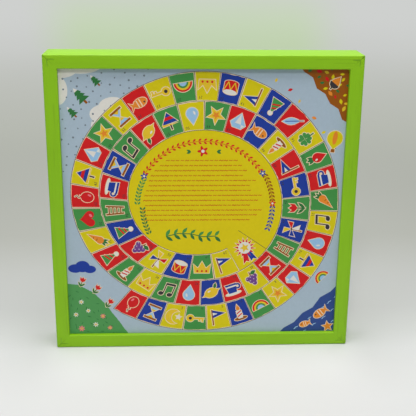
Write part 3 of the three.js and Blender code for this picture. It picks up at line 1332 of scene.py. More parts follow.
class PrintedSheet:
    """A printed sheet: areas of ink that are laid over each other, then cut into one layer of faces."""

    node: ClassVar[str]
    body: ClassVar[str]
    slot: ClassVar[str]
    paper: ClassVar[PrintedPaper]
    side: ClassVar[int]  # 1 for a sheet that faces the front, and -1 for one that faces the back
    ground: ClassVar[Ink] = Ink.SKY
    corner: ClassVar[float] = 1.5

    def __post_init__(self) -> None:
        """Takes the sheet's place from the frame and lays the ground ink."""
        low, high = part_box(self.node)
        self.face, self.back = (low.y, high.y)[:: self.side]
        self.middle = (low.z + high.z) / 2
        self.reach = (high.z - low.z) / 2 / MM
        self.areas: list[tuple[Ink, Outline]] = []
        left, right = sorted((self.side * low.x / MM, self.side * high.x / MM))
        self.paint(self.ground, rounded(left, right, -self.reach, self.reach, self.corner))

    def build(self) -> None:
        """Lays the inks down, from the ground up, and makes the sheet in its solid's place."""
        self.lay_inks()
        mesh = self.slab(self.node + "_print")
        mesh.materials.append(self.paper.material())
        add_piece(object_of(mesh.name, mesh), self.body, [self.node])

    def lay_inks(self) -> None:
        """Lays the sheet's own inks, which each sheet says for itself."""
        raise NotImplementedError

    def place_of(self, point: Vector, depth: float) -> Vector:
        """Where a point of the print lies on the object, at a depth."""
        return Vector((self.side * point.x * MM, depth, self.middle + point.y * MM))

    def paint(self, ink: Ink, *outlines: Outline) -> None:
        """Lays areas of one ink over what is there.

        Args:
            ink: The ink.
            outlines: The areas, each a closed outline.
        """
        for outline in outlines:
            self.areas.append((ink, outline if turns_left(outline) else outline[::-1]))

    def draw(self, drawing: Drawing, x: float, y: float, turn: float, scale: float, halo: float) -> None:
        """Lays a drawing down with a cream edge round it.

        Args:
            drawing: Its inked outlines, from the lowest up.
            x: Where its middle goes.
            y: Where its middle goes.
            turn: Degrees that it is turned by.
            scale: How much it is scaled.
            halo: How wide the cream edge is, or 0 for none.
        """
        placed = [(ink, moved(outline, x, y, turn, scale)) for ink, outline in drawing]
        if halo:
            for _, outline in placed:
                self.paint(Ink.CREAM, grown(outline, halo))
        for ink, outline in placed:
            self.paint(ink, outline)

    def cut(self) -> tuple[list[Vector], list[list[int]], list[Ink]]:
        """Cuts the areas where they cross.

        Returns:
            The points, the triangles inside the sheet, and the ink of each triangle.
        """
        points: list[Vector] = []
        outlines: list[list[int]] = []
        for _, outline in self.areas:
            start = len(points)
            points += [Vector(p) for p in outline]
            outlines.append(list(range(start, len(points))))
        found = delaunay_2d_cdt(points, [], outlines, INSIDE_TRIANGLES, SAME_POINT, True)
        places, triangles, owners = found[0], found[2], found[5]
        inside = [(t, self.areas[max(o)][0]) for t, o in zip(triangles, owners) if 0 in o]
        used = sorted({point for t, _ in inside for point in t})
        number = {point: i for i, point in enumerate(used)}
        faces = [[number[point] for point in t] for t, _ in inside]
        return [places[point] for point in used], faces, [ink for _, ink in inside]

    def slab(self, name: str) -> bpy.types.Mesh:
        """Makes the sheet's mesh, a thin closed slab.

        Args:
            name: The mesh's name.

        Returns:
            The mesh, with the ink of each face and a map that lays the print out flat.
        """
        places, triangles, inks = self.cut()
        sides = {(a, b) for t in triangles for a, b in zip(t, t[1:] + t[:1])}
        after = {a: b for a, b in sides if (b, a) not in sides}
        rim = [next(iter(after))]
        while after[rim[-1]] != rim[0]:
            rim.append(after[rim[-1]])
        behind = {point: len(places) + i for i, point in enumerate(rim)}
        vertices = [self.place_of(point, self.face) for point in places]
        vertices += [self.place_of(places[i], self.back) for i in rim]
        walls = [[after[i], i, behind[i], behind[after[i]]] for i in rim]
        faces = triangles + walls + [[behind[i] for i in reversed(rim)]]
        mesh = mesh_of(name, vertices, faces)
        self.colour(mesh, inks)
        self.lay_out(mesh, len(triangles), places)
        return mesh

    @staticmethod
    def colour(mesh: bpy.types.Mesh, inks: list[Ink]) -> None:
        """Writes each face's ink.

        Args:
            mesh: The sheet's mesh.
            inks: The inks of its first faces. The faces past them are bare paper.
        """
        attribute = mesh.attributes.new("ink", "FLOAT_COLOR", "FACE")
        bare = [Ink.PAPER] * (len(mesh.polygons) - len(inks))
        attribute.data.foreach_set("color", [part for ink in inks + bare for part in linear(ink.value)])

    @staticmethod
    def lay_out(mesh: bpy.types.Mesh, printed: int, places: list[Vector]) -> None:
        """Lays the printed faces out over a map, and the bare ones in a strip beside them.

        Args:
            mesh: The sheet's mesh, whose printed faces come first.
            printed: How many faces are printed.
            places: The print's points.
        """
        low = Vector((min(p.x for p in places), min(p.y for p in places)))
        wide = max(max(p.x for p in places) - low.x, max(p.y for p in places) - low.y)
        flat = [(p - low) * (MAP_PRINT / wide) for p in places]
        layer = mesh.uv_layers.new(name=MAP_NAME)
        for face in mesh.polygons:
            for corner in face.loop_indices:
                point = mesh.loops[corner].vertex_index
                if face.index < printed:
                    layer.data[corner].uv = flat[point]
                else:
                    across, up = corner % 2, corner // 2 % 2
                    layer.data[corner].uv = (MAP_STRIP + MAP_STEP * across, MAP_STEP * up)


@dataclass
class SpiralTrack:
    """A two-turn spiral of cells that steps inwards by one row in its lower left quarter."""

    start: float = -130.0
    outer: float = 129.6
    pitch: float = 27.2
    step_from: float = 275.0
    step_length: float = 130.0
    cells: int = 63
    last_cell: float = 789.0
    cell_points: int = 6
    samples: int = 2000

    def radius(self, travel: float) -> float:
        """Radius of the spiral's outer line.

        Args:
            travel: Degrees run through since the start.

        Returns:
            The radius in millimetres.
        """
        whole, part = divmod(travel - self.step_from, 360.0)
        share = min(1.0, part / self.step_length)
        return self.outer - self.pitch * (whole + share * share * (3 - 2 * share))

    def at(self, travel: float, radius: float) -> Point:
        """The point at a radius, some degrees on from the start."""
        return polar(radius, self.start + travel)

    def centre_line(self, travel: float) -> float:
        """Radius of the middle of the track."""
        return (self.radius(travel) + self.radius(travel + 360)) / 2

    def joints(self) -> list[float]:
        """Degrees at which one cell ends and the next starts, with cells of equal length.

        Returns:
            One value more than there are cells before the last.
        """
        steps = spread(0, self.last_cell, self.samples)
        lengths = [0.0]
        for here in steps[1:]:
            lengths.append(lengths[-1] + self.centre_line(here))
        goals = spread(0, lengths[-1], self.cells - 1)
        return [next(t for t, run in zip(steps, lengths) if run >= goal - DOUBLE) for goal in goals]

    def cell(self, start: float, end: float, inset: float) -> Outline:
        """A cell between two joints.

        Args:
            start: Degrees at its first joint.
            end: Degrees at its second joint.
            inset: How far its edges lie inside the lines.

        Returns:
            The outline.
        """
        near = math.degrees(inset / self.centre_line(start))
        travels = spread(start + near, end - near, self.cell_points)
        outer = [self.at(t, self.radius(t) - inset) for t in travels]
        inner = [self.at(t, self.radius(t + 360) + inset) for t in reversed(travels)]
        return outer + inner

    def line(self, start: float, end: float, shift: float, steps: int) -> Outline:
        """Points along the spiral's line, moved outwards by the shift."""
        return [self.at(t, self.radius(t) + shift) for t in spread(start, end, steps)]


@dataclass
class RacePrint(PrintedSheet):
    """The race game's sheet: a spiral of cells round a yellow centre, and a season in each corner."""

    node = "race_sheet"
    body = "frame"
    slot = "race_print"
    paper = RACE_PAPER
    side = 1
    rows: RowTool
    scatter: ScatterTool
    track: SpiralTrack = field(default_factory=SpiralTrack)
    line: float = 0.45
    cream: float = 0.5
    halo: float = 0.6
    picture_scale: float = 1.22
    picture_shift: float = 0.6
    number_height: float = 2.3
    number_stroke: float = 0.34
    number_inset: Point = (4.0, 3.4)
    finish_line: float = 26.0
    finish_reach: float = 0.86
    centre_steps: int = 72
    seed: int = 11

    def __post_init__(self) -> None:
        """Starts the sheet and its chance."""
        super().__post_init__()
        self.chance = random.Random(self.seed)
        self.chosen: list[Motif] = []

    def lay_inks(self) -> None:
        """A season in each corner, then the track and the centre."""
        self.paint_snow()
        self.paint_leaves()
        self.paint_meadow()
        self.paint_sea()
        self.paint_track()
        self.paint_centre()

    def row(self, path: Outline, shape: Outline, count: int, sizes: Span = (1.0, 1.0)) -> list[Outline]:
        """Copies of a shape along a path.

        Args:
            path: The path.
            shape: The shape, which follows the path along its own X.
            count: How many copies.
            sizes: Smallest and largest scale.

        Returns:
            The copies' outlines.
        """
        values = {"Shape": area_mesh(shape), "Count": count, "Smallest": sizes[0], "Largest": sizes[1]}
        values["Seed"] = self.chance.randrange(1000)
        return flat_outlines(self.rows.run(path_mesh(path), self.paper, values))

    def strew(self, area: Outline, shape: Outline, apart: float, sizes: Span) -> list[Outline]:
        """Copies of a shape scattered over an area.

        Args:
            area: The area.
            shape: The shape.
            apart: The least distance between two copies.
            sizes: Smallest and largest scale.

        Returns:
            The copies' outlines.
        """
        values = {"Shape": area_mesh(shape), "Apart": apart, "Smallest": sizes[0], "Largest": sizes[1]}
        values["Seed"] = self.chance.randrange(1000)
        return flat_outlines(self.scatter.run(area_mesh(area), self.paper, values))

    def paint_snow(self) -> None:
        """Top left: soft white banks, fir trees and falling flakes."""
        edge = self.reach
        sky = [(-edge, 30), (-40, edge), (-edge, edge)]
        flakes = self.strew(sky, oval(0, 0, 0.85, steps=7), 6.6, (0.8, 1.25))
        banks = [(-130, 132, 16, 9), (-112, 135, 20, 8), (-134, 112, 10, 14)]
        banks += [(-92, 90, 13, 9), (-83, 96, 14, 10), (-95, 80, 9, 8)]
        for x, y, wide, high in banks:
            self.paint(Ink.WHITE, oval(x, y, wide, high, 0, 24))
        self.paint(Ink.DOT, *flakes)
        tiers = [[(-w, low), (w, low), (0, low + 6)] for w, low in ((5.4, -5), (4.4, -1.4), (3.2, 2))]
        tree = inked(Ink.BROWN, box(-1, -8, 1, -4)) + inked(Ink.LEAF, *tiers)
        tree += inked(Ink.WHITE, [(-1.8, 4.7), (1.8, 4.7), (0, 8)])
        for x, y, scale in [(-113, 107, 1.15), (-121, 92, 0.8), (-99, 121, 0.8)]:
            self.draw(tree, x, y, 42, scale, 0.0)

    def paint_leaves(self) -> None:
        """Top right: a brown heap with leaves strewn on it and more coming down, and a balloon."""
        edge = self.reach + 1
        heap = [(edge, 80), (128, 85), (124, 95), (116, 100), (111, 109), (103, 114), (99, 124), (91, 129)]
        self.paint(Ink.BROWN, [*heap, (84, edge), (edge, edge)])
        leaf = blade(-2.6, 0, 5.2, 2.9, 0, 4)
        choices = [Ink.RED, Ink.GOLD, Ink.ORANGE, Ink.LEAF, Ink.YELLOW]
        fallen = self.strew([(edge, 86), (edge, edge), (90, edge)], leaf, 5.0, (0.75, 1.15))
        coming = self.strew([(60, 122), (98, 92), (122, 56), (131, 56), (62, 131)], leaf, 13.0, (0.7, 1.0))
        for outline in fallen + coming:
            self.paint(self.chance.choice(choices), outline)
        acorn = inked(Ink.ORANGE, drop(0, 0, 3.2, 6, 180))
        acorn += inked(Ink.LINE, half_disc(0, 0.6, 3.9), box(-0.5, 4, 0.5, 6))
        self.draw(acorn, 120, 119, 140, 1.2, self.halo)
        balloon = inked(Ink.YELLOW, drop(0, 0, 7.4, 10.6, 180)) + inked(Ink.ORANGE, oval(0, 0.6, 2.3, 6.6))
        balloon += inked(Ink.BROWN, box(-1.8, -13.4, 1.8, -10.2))
        self.draw(balloon, 122.5, 67, -8, 1.0, self.halo)

    def paint_meadow(self) -> None:
        """Bottom left: a green hill with tulips and daisies under a small cloud."""
        edge = self.reach + 1
        ridge = [(-72, -edge), (-85, -117), (-96, -101), (-108, -88), (-122, -80), (-edge, -78)]
        hill = [*reversed(ridge), (-edge, -edge)]
        for x, y, wide, high in [(-124, -62, 7, 4.5), (-117, -60, 7, 6), (-110, -63, 6, 4)]:
            self.paint(Ink.BLUE, oval(x, y, wide, high, 0, 20))
        self.paint(Ink.HILL, hill)
        tuft = [(-1.6, -0.6), (1.6, -0.6), (1.3, 1.5), (0.5, 0.4), (-0.2, 1.9), (-0.7, 0.4), (-1.5, 1.2)]
        self.paint(Ink.HILL, *self.row(ridge, tuft, 38, (0.7, 1.3)))
        blades = self.strew(grown(hill, -6), blade(0, 0, 4, 0.8, 90, 3), 6.0, (0.8, 1.2))
        self.paint(Ink.LEAF, *blades)
        daisies = self.strew(grown(hill, -9), blossom(3.1, 7), 11.5, (0.8, 1.15))
        for outline in daisies:
            x = sum(p for p, _ in outline) / len(outline)
            y = sum(q for _, q in outline) / len(outline)
            self.paint(self.chance.choice([Ink.WHITE, Ink.WHITE, Ink.PINK]), outline)
            self.paint(Ink.GOLD, oval(x, y, 1.0, steps=8))
        for x, y, turn in [(-104, -84, -38), (-92, -99, -40), (-118, -76, -20)]:
            self.draw(Motif.TULIP.value, x, y, turn, 0.8, 0.4)

    def paint_sea(self) -> None:
        """Bottom right: dark water with wave crests, two fish and a starfish."""
        edge = self.reach + 1
        water = [(74, -edge), (82, -128), (92, -122), (100, -112)]
        water += [(110, -106), (117, -95), (127, -89), (edge, -78)]
        self.paint(Ink.SEA, [*water, (edge, -edge)])
        crest = [(-3, 0), (-1.5, -0.7), (0, 0), (1.5, -0.7), (3, 0), (1.5, 0.2), (0, 0.8), (-1.5, 0.2)]
        for shift, count in [(5.25, 8), (11.25, 6), (18, 4), (24.75, 3)]:
            path = [(p + shift, q - shift) for p, q in (water[1], water[4], water[-2])]
            self.paint(Ink.LIGHT, *self.row(path, crest, count, (0.8, 1.1)))
        self.draw(Motif.FISH.value, 118, -112, 38, 1.2, self.halo)
        self.draw(Motif.FISH.value, 103, -124, 20, 0.85, self.halo)
        self.draw(inked(Ink.ORANGE, star(0, 0, 5.6, 2.5)), 126, -127, 10, 1.0, self.halo)
        self.draw(Motif.RAINBOW.value, 116, -72, 48, 1.1, 0.4)

    def cell_inks(self) -> list[Ink]:
        """Chooses the cells' inks so that no cell is like the one before it.

        Returns:
            One ink for each cell.
        """
        choices = [Ink.YELLOW, Ink.RED, Ink.BLUE, Ink.GREEN, Ink.YELLOW, Ink.RED]
        turn_before = slice(-33, -31)
        inks = [Ink.RED]
        while len(inks) < self.track.cells - 1:
            ink = self.chance.choice(choices)
            if ink is not inks[-1] and ink not in inks[turn_before]:
                inks.append(ink)
        return inks

    def paint_track(self) -> None:
        """The cells with their lines, pictures and numbers."""
        track = self.track
        joints = track.joints()
        for start, end in zip(joints, joints[1:]):
            self.paint(Ink.LINE, track.cell(start, end, -self.line / 2))
        for index, ink in enumerate(self.cell_inks()):
            start, end = joints[index], joints[index + 1]
            self.paint(Ink.CREAM, track.cell(start, end, self.line / 2))
            self.paint(ink, self.wobbled(track.cell(start, end, self.line / 2 + self.cream)))
            self.paint_picture(ink, start, end, index)

    def pick_motif(self, ink: Ink) -> Motif:
        """Chooses a cell's picture.

        Args:
            ink: The cell's ink, which its picture neither starts nor ends with.

        Returns:
            A picture that none of the nearby cells holds.
        """
        just_before, turn_before = slice(-12, None), slice(-37, -29)
        nearby = self.chosen[just_before] + self.chosen[turn_before]
        fitting = [m for m in Motif if m not in nearby and ink not in (m.value[0][0], m.value[-1][0])]
        self.chosen.append(self.chance.choice(fitting))
        return self.chosen[-1]

    def wobbled(self, outline: Outline, by: float = 0.3) -> Outline:
        """An outline with the small unevenness of a hand-inked edge."""
        uneven = self.chance.uniform
        return [(p + uneven(-by, by), q + uneven(-by, by)) for p, q in outline]

    def paint_picture(self, ink: Ink, start: float, end: float, index: int) -> None:
        """A cell's picture, with its head to the centre, and its number.

        Args:
            ink: The cell's ink.
            start: Degrees at the cell's first joint.
            end: Degrees at its second joint.
            index: The cell's place in the track.
        """
        track = self.track
        middle = (start + end) / 2
        pick = self.pick_motif(ink)
        x, y = track.at(middle, track.centre_line(middle) + self.picture_shift)
        turn = track.start + middle + 90
        self.draw(pick.value, x, y, turn, self.picture_scale, self.halo)
        before, above = self.number_inset
        inner = track.radius(middle + 360) + above
        x, y = track.at(end - math.degrees(before / inner), inner)
        marks = number_strokes(index + 1, self.number_height, self.number_stroke)
        self.paint(Ink.LINE, *[moved(m, x, y, turn) for m in marks])

    def paint_centre(self) -> None:
        """The yellow field with its garlands, ripple rows, sprig and the last cell's rosette."""
        track = self.track
        last = track.last_cell
        for ink, shift in ((Ink.LINE, self.line / 2), (Ink.CENTRE, -self.line / 2)):
            self.paint(ink, track.line(last, last + 360, shift, self.centre_steps))
        goal = last + self.finish_line
        start = track.at(goal, track.radius(goal + 360) * self.finish_reach)
        self.paint(Ink.LINE, bar(start, track.at(goal, track.radius(goal)), self.line))
        self.paint_garlands()
        self.paint_ripples()
        self.paint_sprig()
        self.paint_rosette()

    def paint_garlands(self) -> None:
        """Bands of little leaves and blossoms along the inner edge of the track."""
        bow = blade(-1.9, 0, 3.8, 1.9, 0, 4)
        stem, apart, tilt, steps = 0.5, 1.6, 35, 24
        garlands = [(148, 34, 64.5, Ink.RED, 26), (176, 154, 63, Ink.GREEN, 8), (206, 181, 58, Ink.LEAF, 8)]
        garlands += [(28, 6, 66, Ink.BROWN, 8), (0, -20, 66, Ink.BLUE, 7)]
        for start, end, radius, ink, count in garlands:
            self.paint(ink, *strokes(arc(0, 0, radius, start, end, steps), stem))
            for side in (1, -1):
                path = arc(0, 0, radius + side * apart, start, end, steps)
                self.paint(ink, *self.row(path, moved(bow, turn=side * tilt), count))
        blossoms = [(151, 64, Ink.BLUE, 1.0), (31, 65, Ink.BLUE, 1.0)]
        blossoms += [(91, 55, Ink.RED, 1.5), (3, 66, Ink.RED, 1.0)]
        for angle, radius, ink, size in blossoms:
            flower = inked(ink, blossom(3.6)) + inked(Ink.WHITE, oval(0, 0, 1.1, steps=8))
            self.draw(flower, *polar(radius, angle), angle, size, 0.0)
        for side in (-1, 1):
            leaves = [blade(side * 12, 54.5, 4.6, 2.1, 90 - side * 90 + lean) for lean in (-22, 22)]
            self.paint(Ink.LEAF, *leaves)

    def paint_ripples(self) -> None:
        """Rows of fine orange ripples across the middle of the field."""
        ripple = [(-1.7, -0.7), (-0.6, -0.1), (0.5, -0.7), (1.7, -0.1)]
        ripple += [(1.7, 0.75), (0.5, 0.15), (-0.6, 0.75), (-1.7, 0.15)]
        top, pitch, count, reach, apart = 46.0, 4.9, 13, 59.0, 4.1
        for index in range(count):
            height = top - pitch * index
            half = math.sqrt(reach**2 - height**2)
            left = -half + self.chance.uniform(2, 5)
            right = half - self.chance.uniform(4, 18)
            path = [(left, height), (right, height)]
            self.paint(Ink.RIPPLE, *self.row(path, ripple, int((right - left) / apart), (0.95, 1.3)))

    def paint_sprig(self) -> None:
        """A green sprig below the ripple rows."""
        stem = [(-36, -29.5), (-24, -26.5), (-12, -27), (0, -30), (11, -29.4)]
        self.paint(Ink.LEAF, *strokes(stem, 1.0))
        leaf = blade(0, 0, 8.2, 3.3, 48, 5)
        self.paint(Ink.GREEN, *self.row(stem, leaf, 7, (0.8, 1.05)))
        self.paint(Ink.LEAF, *self.row(stem, [(p, -q) for p, q in leaf], 7, (0.8, 1.05)))

    def paint_rosette(self) -> None:
        """A prize rosette where the track ends."""
        tails = inked(Ink.RED, [(-3, -3), (-6.4, -14), (-3.2, -12), (-1, -14), (0.6, -3)])
        tails += inked(Ink.BLUE, [(3, -3), (6.4, -14), (3.2, -12), (1, -14), (-0.6, -3)])
        disc = inked(Ink.RED, blossom(9.2, 14, 0, 56)) + inked(Ink.WHITE, oval(0, 0, 5.6, steps=24))
        disc += inked(Ink.GOLD, star(0, 0, 4.6, 2.0))
        self.draw(tails + disc, *polar(58, -46), 24, 1.1, 0.5)


@dataclass
class LudoPrint(PrintedSheet):
    """The ludo game's sheet: the traditional cross with four yards."""

    node = "ludo_sheet"
    body = "ludo_slider"
    slot = "ludo_print"
    paper = LUDO_PAPER
    side = -1
    cells: int = 15
    play: float = 252.0
    line: float = 0.4
    yard_inset: float = 1.1
    yard_corner: float = 4.0
    yard_edge: float = 0.4
    nest_corner: float = 9.0
    nest_edge: float = 0.5
    spot: float = 6.4
    spot_ring: Span = (0.62, 0.5)
    goal_inset: tuple[float, float, float] = (0.8, 1.2, 0.5)
    goal_heart: float = 4.0
    goal_heart_at: float = 0.62

    def __post_init__(self) -> None:
        """Starts the sheet and takes the size of a square from the playing area."""
        super().__post_init__()
        self.cell = self.play / self.cells

    def lay_inks(self) -> None:
        """The playing area, then its four quarters."""
        half = self.play / 2
        for ink, rim, corner in ((Ink.LINE, 2, 4), (Ink.CREAM, 1.5, 3.6)):
            self.paint(ink, rounded(-half - rim, half + rim, -half - rim, half + rim, corner))
        for quarter, ink in enumerate([Ink.RED, Ink.BLUE, Ink.YELLOW, Ink.GREEN]):
            self.paint_quarter(90.0 * quarter, ink)

    def paint_quarter(self, turn: float, ink: Ink) -> None:
        """One yard, one arm of the cross and one side of the goal.

        Args:
            turn: Degrees that the quarter is turned by.
            ink: Its ink.
        """
        cell = self.cell
        near, far = 1.5 * cell, 7.5 * cell
        middle, nest = (near + far) / 2, 2 * cell
        self.panel(turn, ink, (near + self.yard_inset, far), self.yard_corner, self.yard_edge)
        self.panel(turn, Ink.WHITE, (middle - nest, middle + nest), self.nest_corner, self.nest_edge)
        outer, inner = (self.spot * share for share in self.spot_ring)
        rings = [(Ink.LINE, self.spot + self.nest_edge, 32), (ink, self.spot, 32)]
        rings += [(Ink.CREAM, outer, 28), (ink, inner, 28)]
        for x in (middle - cell, middle + cell):
            for y in (middle - cell, middle + cell):
                for tone, radius, steps in rings:
                    self.lay(turn, tone, oval(x, y, radius, steps=steps))
        for column in (-1, 0, 1):
            for row in range(2, 8):
                self.paint_square(turn, ink, column, row)
        self.lay(turn, Ink.LINE, [(0, 0), (near, near), (-near, near)])
        tip, side, base = self.goal_inset
        self.lay(turn, ink, [(0, tip), (near - side, near - base), (side - near, near - base)])
        self.lay(turn, Ink.CREAM, heart(0, near * self.goal_heart_at, self.goal_heart))

    def panel(self, turn: float, ink: Ink, ends: Span, corner: float, edge: float) -> None:
        """A square with a dark edge and round corners.

        Args:
            turn: Degrees that its quarter is turned by.
            ink: Its ink.
            ends: Where it starts and ends, both ways.
            corner: The corners' radius.
            edge: How wide the dark edge is.
        """
        for tone, inset in ((Ink.LINE, 0.0), (ink, edge)):
            low, high = ends[0] + inset, ends[1] - inset
            self.lay(turn, tone, rounded(low, high, low, high, corner - inset))

    def paint_square(self, turn: float, ink: Ink, column: int, row: int) -> None:
        """One square of an arm: plain, part of the home column, the start, or a safe square with a star.

        Args:
            turn: Degrees that its quarter is turned by.
            ink: The quarter's ink.
            column: Squares to the right of the arm's middle.
            row: Squares out from the board's middle.
        """
        half, edge = self.cell / 2, self.line / 2
        x, y = column * self.cell, row * self.cell
        home = column == 0 and row < 7
        start = column == 1 and row == 6
        fill = ink if home or start else Ink.WHITE
        self.lay(turn, Ink.LINE, square(x, y, half + edge))
        self.lay(turn, fill, square(x, y, half - edge))
        if start:
            arrow = [(-4, 2), (0, -5), (4, 2), (1.6, 2), (1.6, 5.4), (-1.6, 5.4), (-1.6, 2)]
            self.lay(turn, Ink.CREAM, moved(arrow, x, y))
        if column == -1 and row == 5:
            self.lay(turn, Ink.LINE, star(x, y, 6.2, 2.7))
            self.lay(turn, ink, star(x, y, 5.2, 2.3))

    def lay(self, turn: float, ink: Ink, outline: Outline) -> None:
        """Lays an area down in a turned quarter."""
        self.paint(ink, moved(outline, turn=turn))


# Solids


@dataclass
class BoxFrame:
    """The lacquered frame: three full rails, the sawn left rail, and the strip that was sawn off it."""

    edge_round: float = 1.5
    edge_steps: int = 6
    lip_round: float = 0.8
    corner_round: float = 1.6
    play: float = 0.3
    nail_leg: float = 6.0
    nail_room: float = 0.33
    crease_length: float = 5.4
    crease_wide: float = 0.55
    crease_depth: float = 3.0
    long_cut: float = 30.0
    clear: float = 1.0
    corner_steps: int = 8

    def __post_init__(self) -> None:
        """Takes the frame's sizes from its solids, in millimetres."""
        low, high = (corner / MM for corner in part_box("top_rail"))
        self.half = CAD_BOX[1].x / MM
        self.middle = high.z - self.half
        self.rail = high.z - low.z
        self.front, self.back = low.y, high.y
        self.inner = self.half - self.rail
        self.race_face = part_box("race_sheet")[0].y / MM
        self.race_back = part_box("race_board")[1].y / MM
        self.ludo_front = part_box("ludo_board")[0].y / MM
        self.ludo_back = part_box("ludo_sheet")[0].y / MM
        self.ludo_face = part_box("ludo_sheet")[1].y / MM
        self.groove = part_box("race_board")[1].x / MM + self.play - self.inner
        self.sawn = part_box("left_rail")[1].y / MM

    def build(self) -> None:
        """Makes the rails and the pull strip."""
        full = self.at_back() + self.groove_at(self.ludo_front, self.ludo_face)
        full += self.groove_at(self.race_face, self.race_back) + self.at_front()
        sawn = [(self.rail, self.sawn), (0, self.sawn)]
        sawn += self.groove_at(self.race_face, self.race_back) + self.at_front()
        strip = [(self.rail, self.ludo_front), *self.at_back(), (0, self.ludo_back)]
        strip += [(self.groove, self.ludo_back), (self.groove, self.ludo_front)]
        self.make_rail("top_rail", full, 0)
        self.make_rail("right_rail", full, 1)
        self.make_rail("bottom_rail", full, 2)
        self.make_rail("left_rail", sawn, 3)
        self.make_rail("pull_strip", strip, 3, "ludo_slider")

    def at_back(self) -> Outline:
        """The back edge of a section, square outside and rounded at the lip."""
        bend = arc(self.lip_round, self.back - self.lip_round, self.lip_round, 90, 180)
        return [(self.rail, self.back), *bend]

    def at_front(self) -> Outline:
        """The front edge of a section, rounded at the lip and square outside."""
        bend = arc(self.lip_round, self.front + self.lip_round, self.lip_round, 180, 270)
        return [*bend, (self.rail, self.front)]

    def groove_at(self, near: float, far: float) -> Outline:
        """A groove in a section's inner side, from its back wall to its front wall."""
        near, far = near - self.play, far + self.play
        return [(0, far), (self.groove, far), (self.groove, near), (0, near)]

    def make_rail(self, name: str, section: Outline, turns: int, body: str = "frame") -> None:
        """Makes one mitred rail.

        Args:
            name: The solid that it stands for.
            section: Its section, outwards from the inner side and along y.
            turns: Quarter turns from the top of the frame.
            body: The body that carries it.
        """
        rings = [[Vector((end * (self.inner + u), y, self.inner + u)) for u, y in section] for end in (-1, 1)]
        rail = object_of(name + "_lacquered", loft(name, rings))
        work(rail, self.envelope(), Cut.KEEP_COMMON)
        if body == "frame":
            for side in (-1, 1):
                work(rail, self.corner_prism(self.nail_pocket(), side, self.long_cut), Cut.TAKE_OFF)
                work(rail, self.corner_prism(self.crease(), side, self.crease_depth), Cut.TAKE_OFF)
        place = Matrix.Translation((0, 0, self.middle)) @ Matrix.Rotation(turns * math.pi / 2, 4, "Y")
        rail.data.transform(Matrix.Scale(MM, 4) @ place)
        rail.data.materials.clear()
        rail.data.materials.append((LACQUER_Z if turns % 2 else LACQUER_X).material())
        smoothed(rail.data)
        add_piece(rail, body, [name])

    def envelope(self) -> bpy.types.Mesh:
        """The outside of the whole box, with its corners and edges rounded.

        Returns:
            The solid, whose rings run from the front to the back.
        """
        size = self.edge_round
        angles = spread(0, math.pi / 2, self.edge_steps)
        bend = [(size * (1 - math.cos(a)), size * (1 - math.sin(a))) for a in angles]
        levels = [(self.front + rise, inset) for rise, inset in bend]
        levels += [(self.back - rise, inset) for rise, inset in bend[::-1]]
        rings = []
        for y, inset in levels:
            reach = self.half - inset
            outline = rounded(-reach, reach, -reach, reach, self.corner_round - inset, self.corner_steps)
            rings.append([Vector((x, y, z)) for x, z in outline])
        return loft("envelope", rings)

    def corner_prism(self, outline: Outline, side: int, depth: float) -> bpy.types.Mesh:
        """A cutter through the front of a top corner.

        Args:
            outline: Its outline at the right corner.
            side: 1 for the right corner and -1 for the left.
            depth: How deep it goes in from the front.

        Returns:
            The cutter.
        """
        near, far = self.front - self.clear, self.front + depth
        rings = [[Vector((side * x, y, z)) for x, z in outline] for y in (near, far)]
        return loft("cutter", rings)

    def nail_pocket(self) -> Outline:
        """The L-shaped slot that a driven nail has left at the top right corner.

        Returns:
            The outline.
        """
        spot = self.half - (self.rail - self.groove) / 2
        wide = self.nail_room
        tip = spot - self.nail_leg - wide
        outline = [(spot + wide, spot + wide), (tip, spot + wide), (tip, spot - wide)]
        return outline + [(spot - wide, spot - wide), (spot - wide, tip), (spot + wide, tip)]

    def crease(self) -> Outline:
        """The open end of the mitre at the top right corner, which narrows inwards.

        Returns:
            The outline.
        """
        outer = self.half + self.clear
        inner = self.half - self.crease_length / math.sqrt(2)
        wide = self.crease_wide / math.sqrt(2)
        return [(outer + wide, outer), (outer, outer + wide), (inner, inner)]


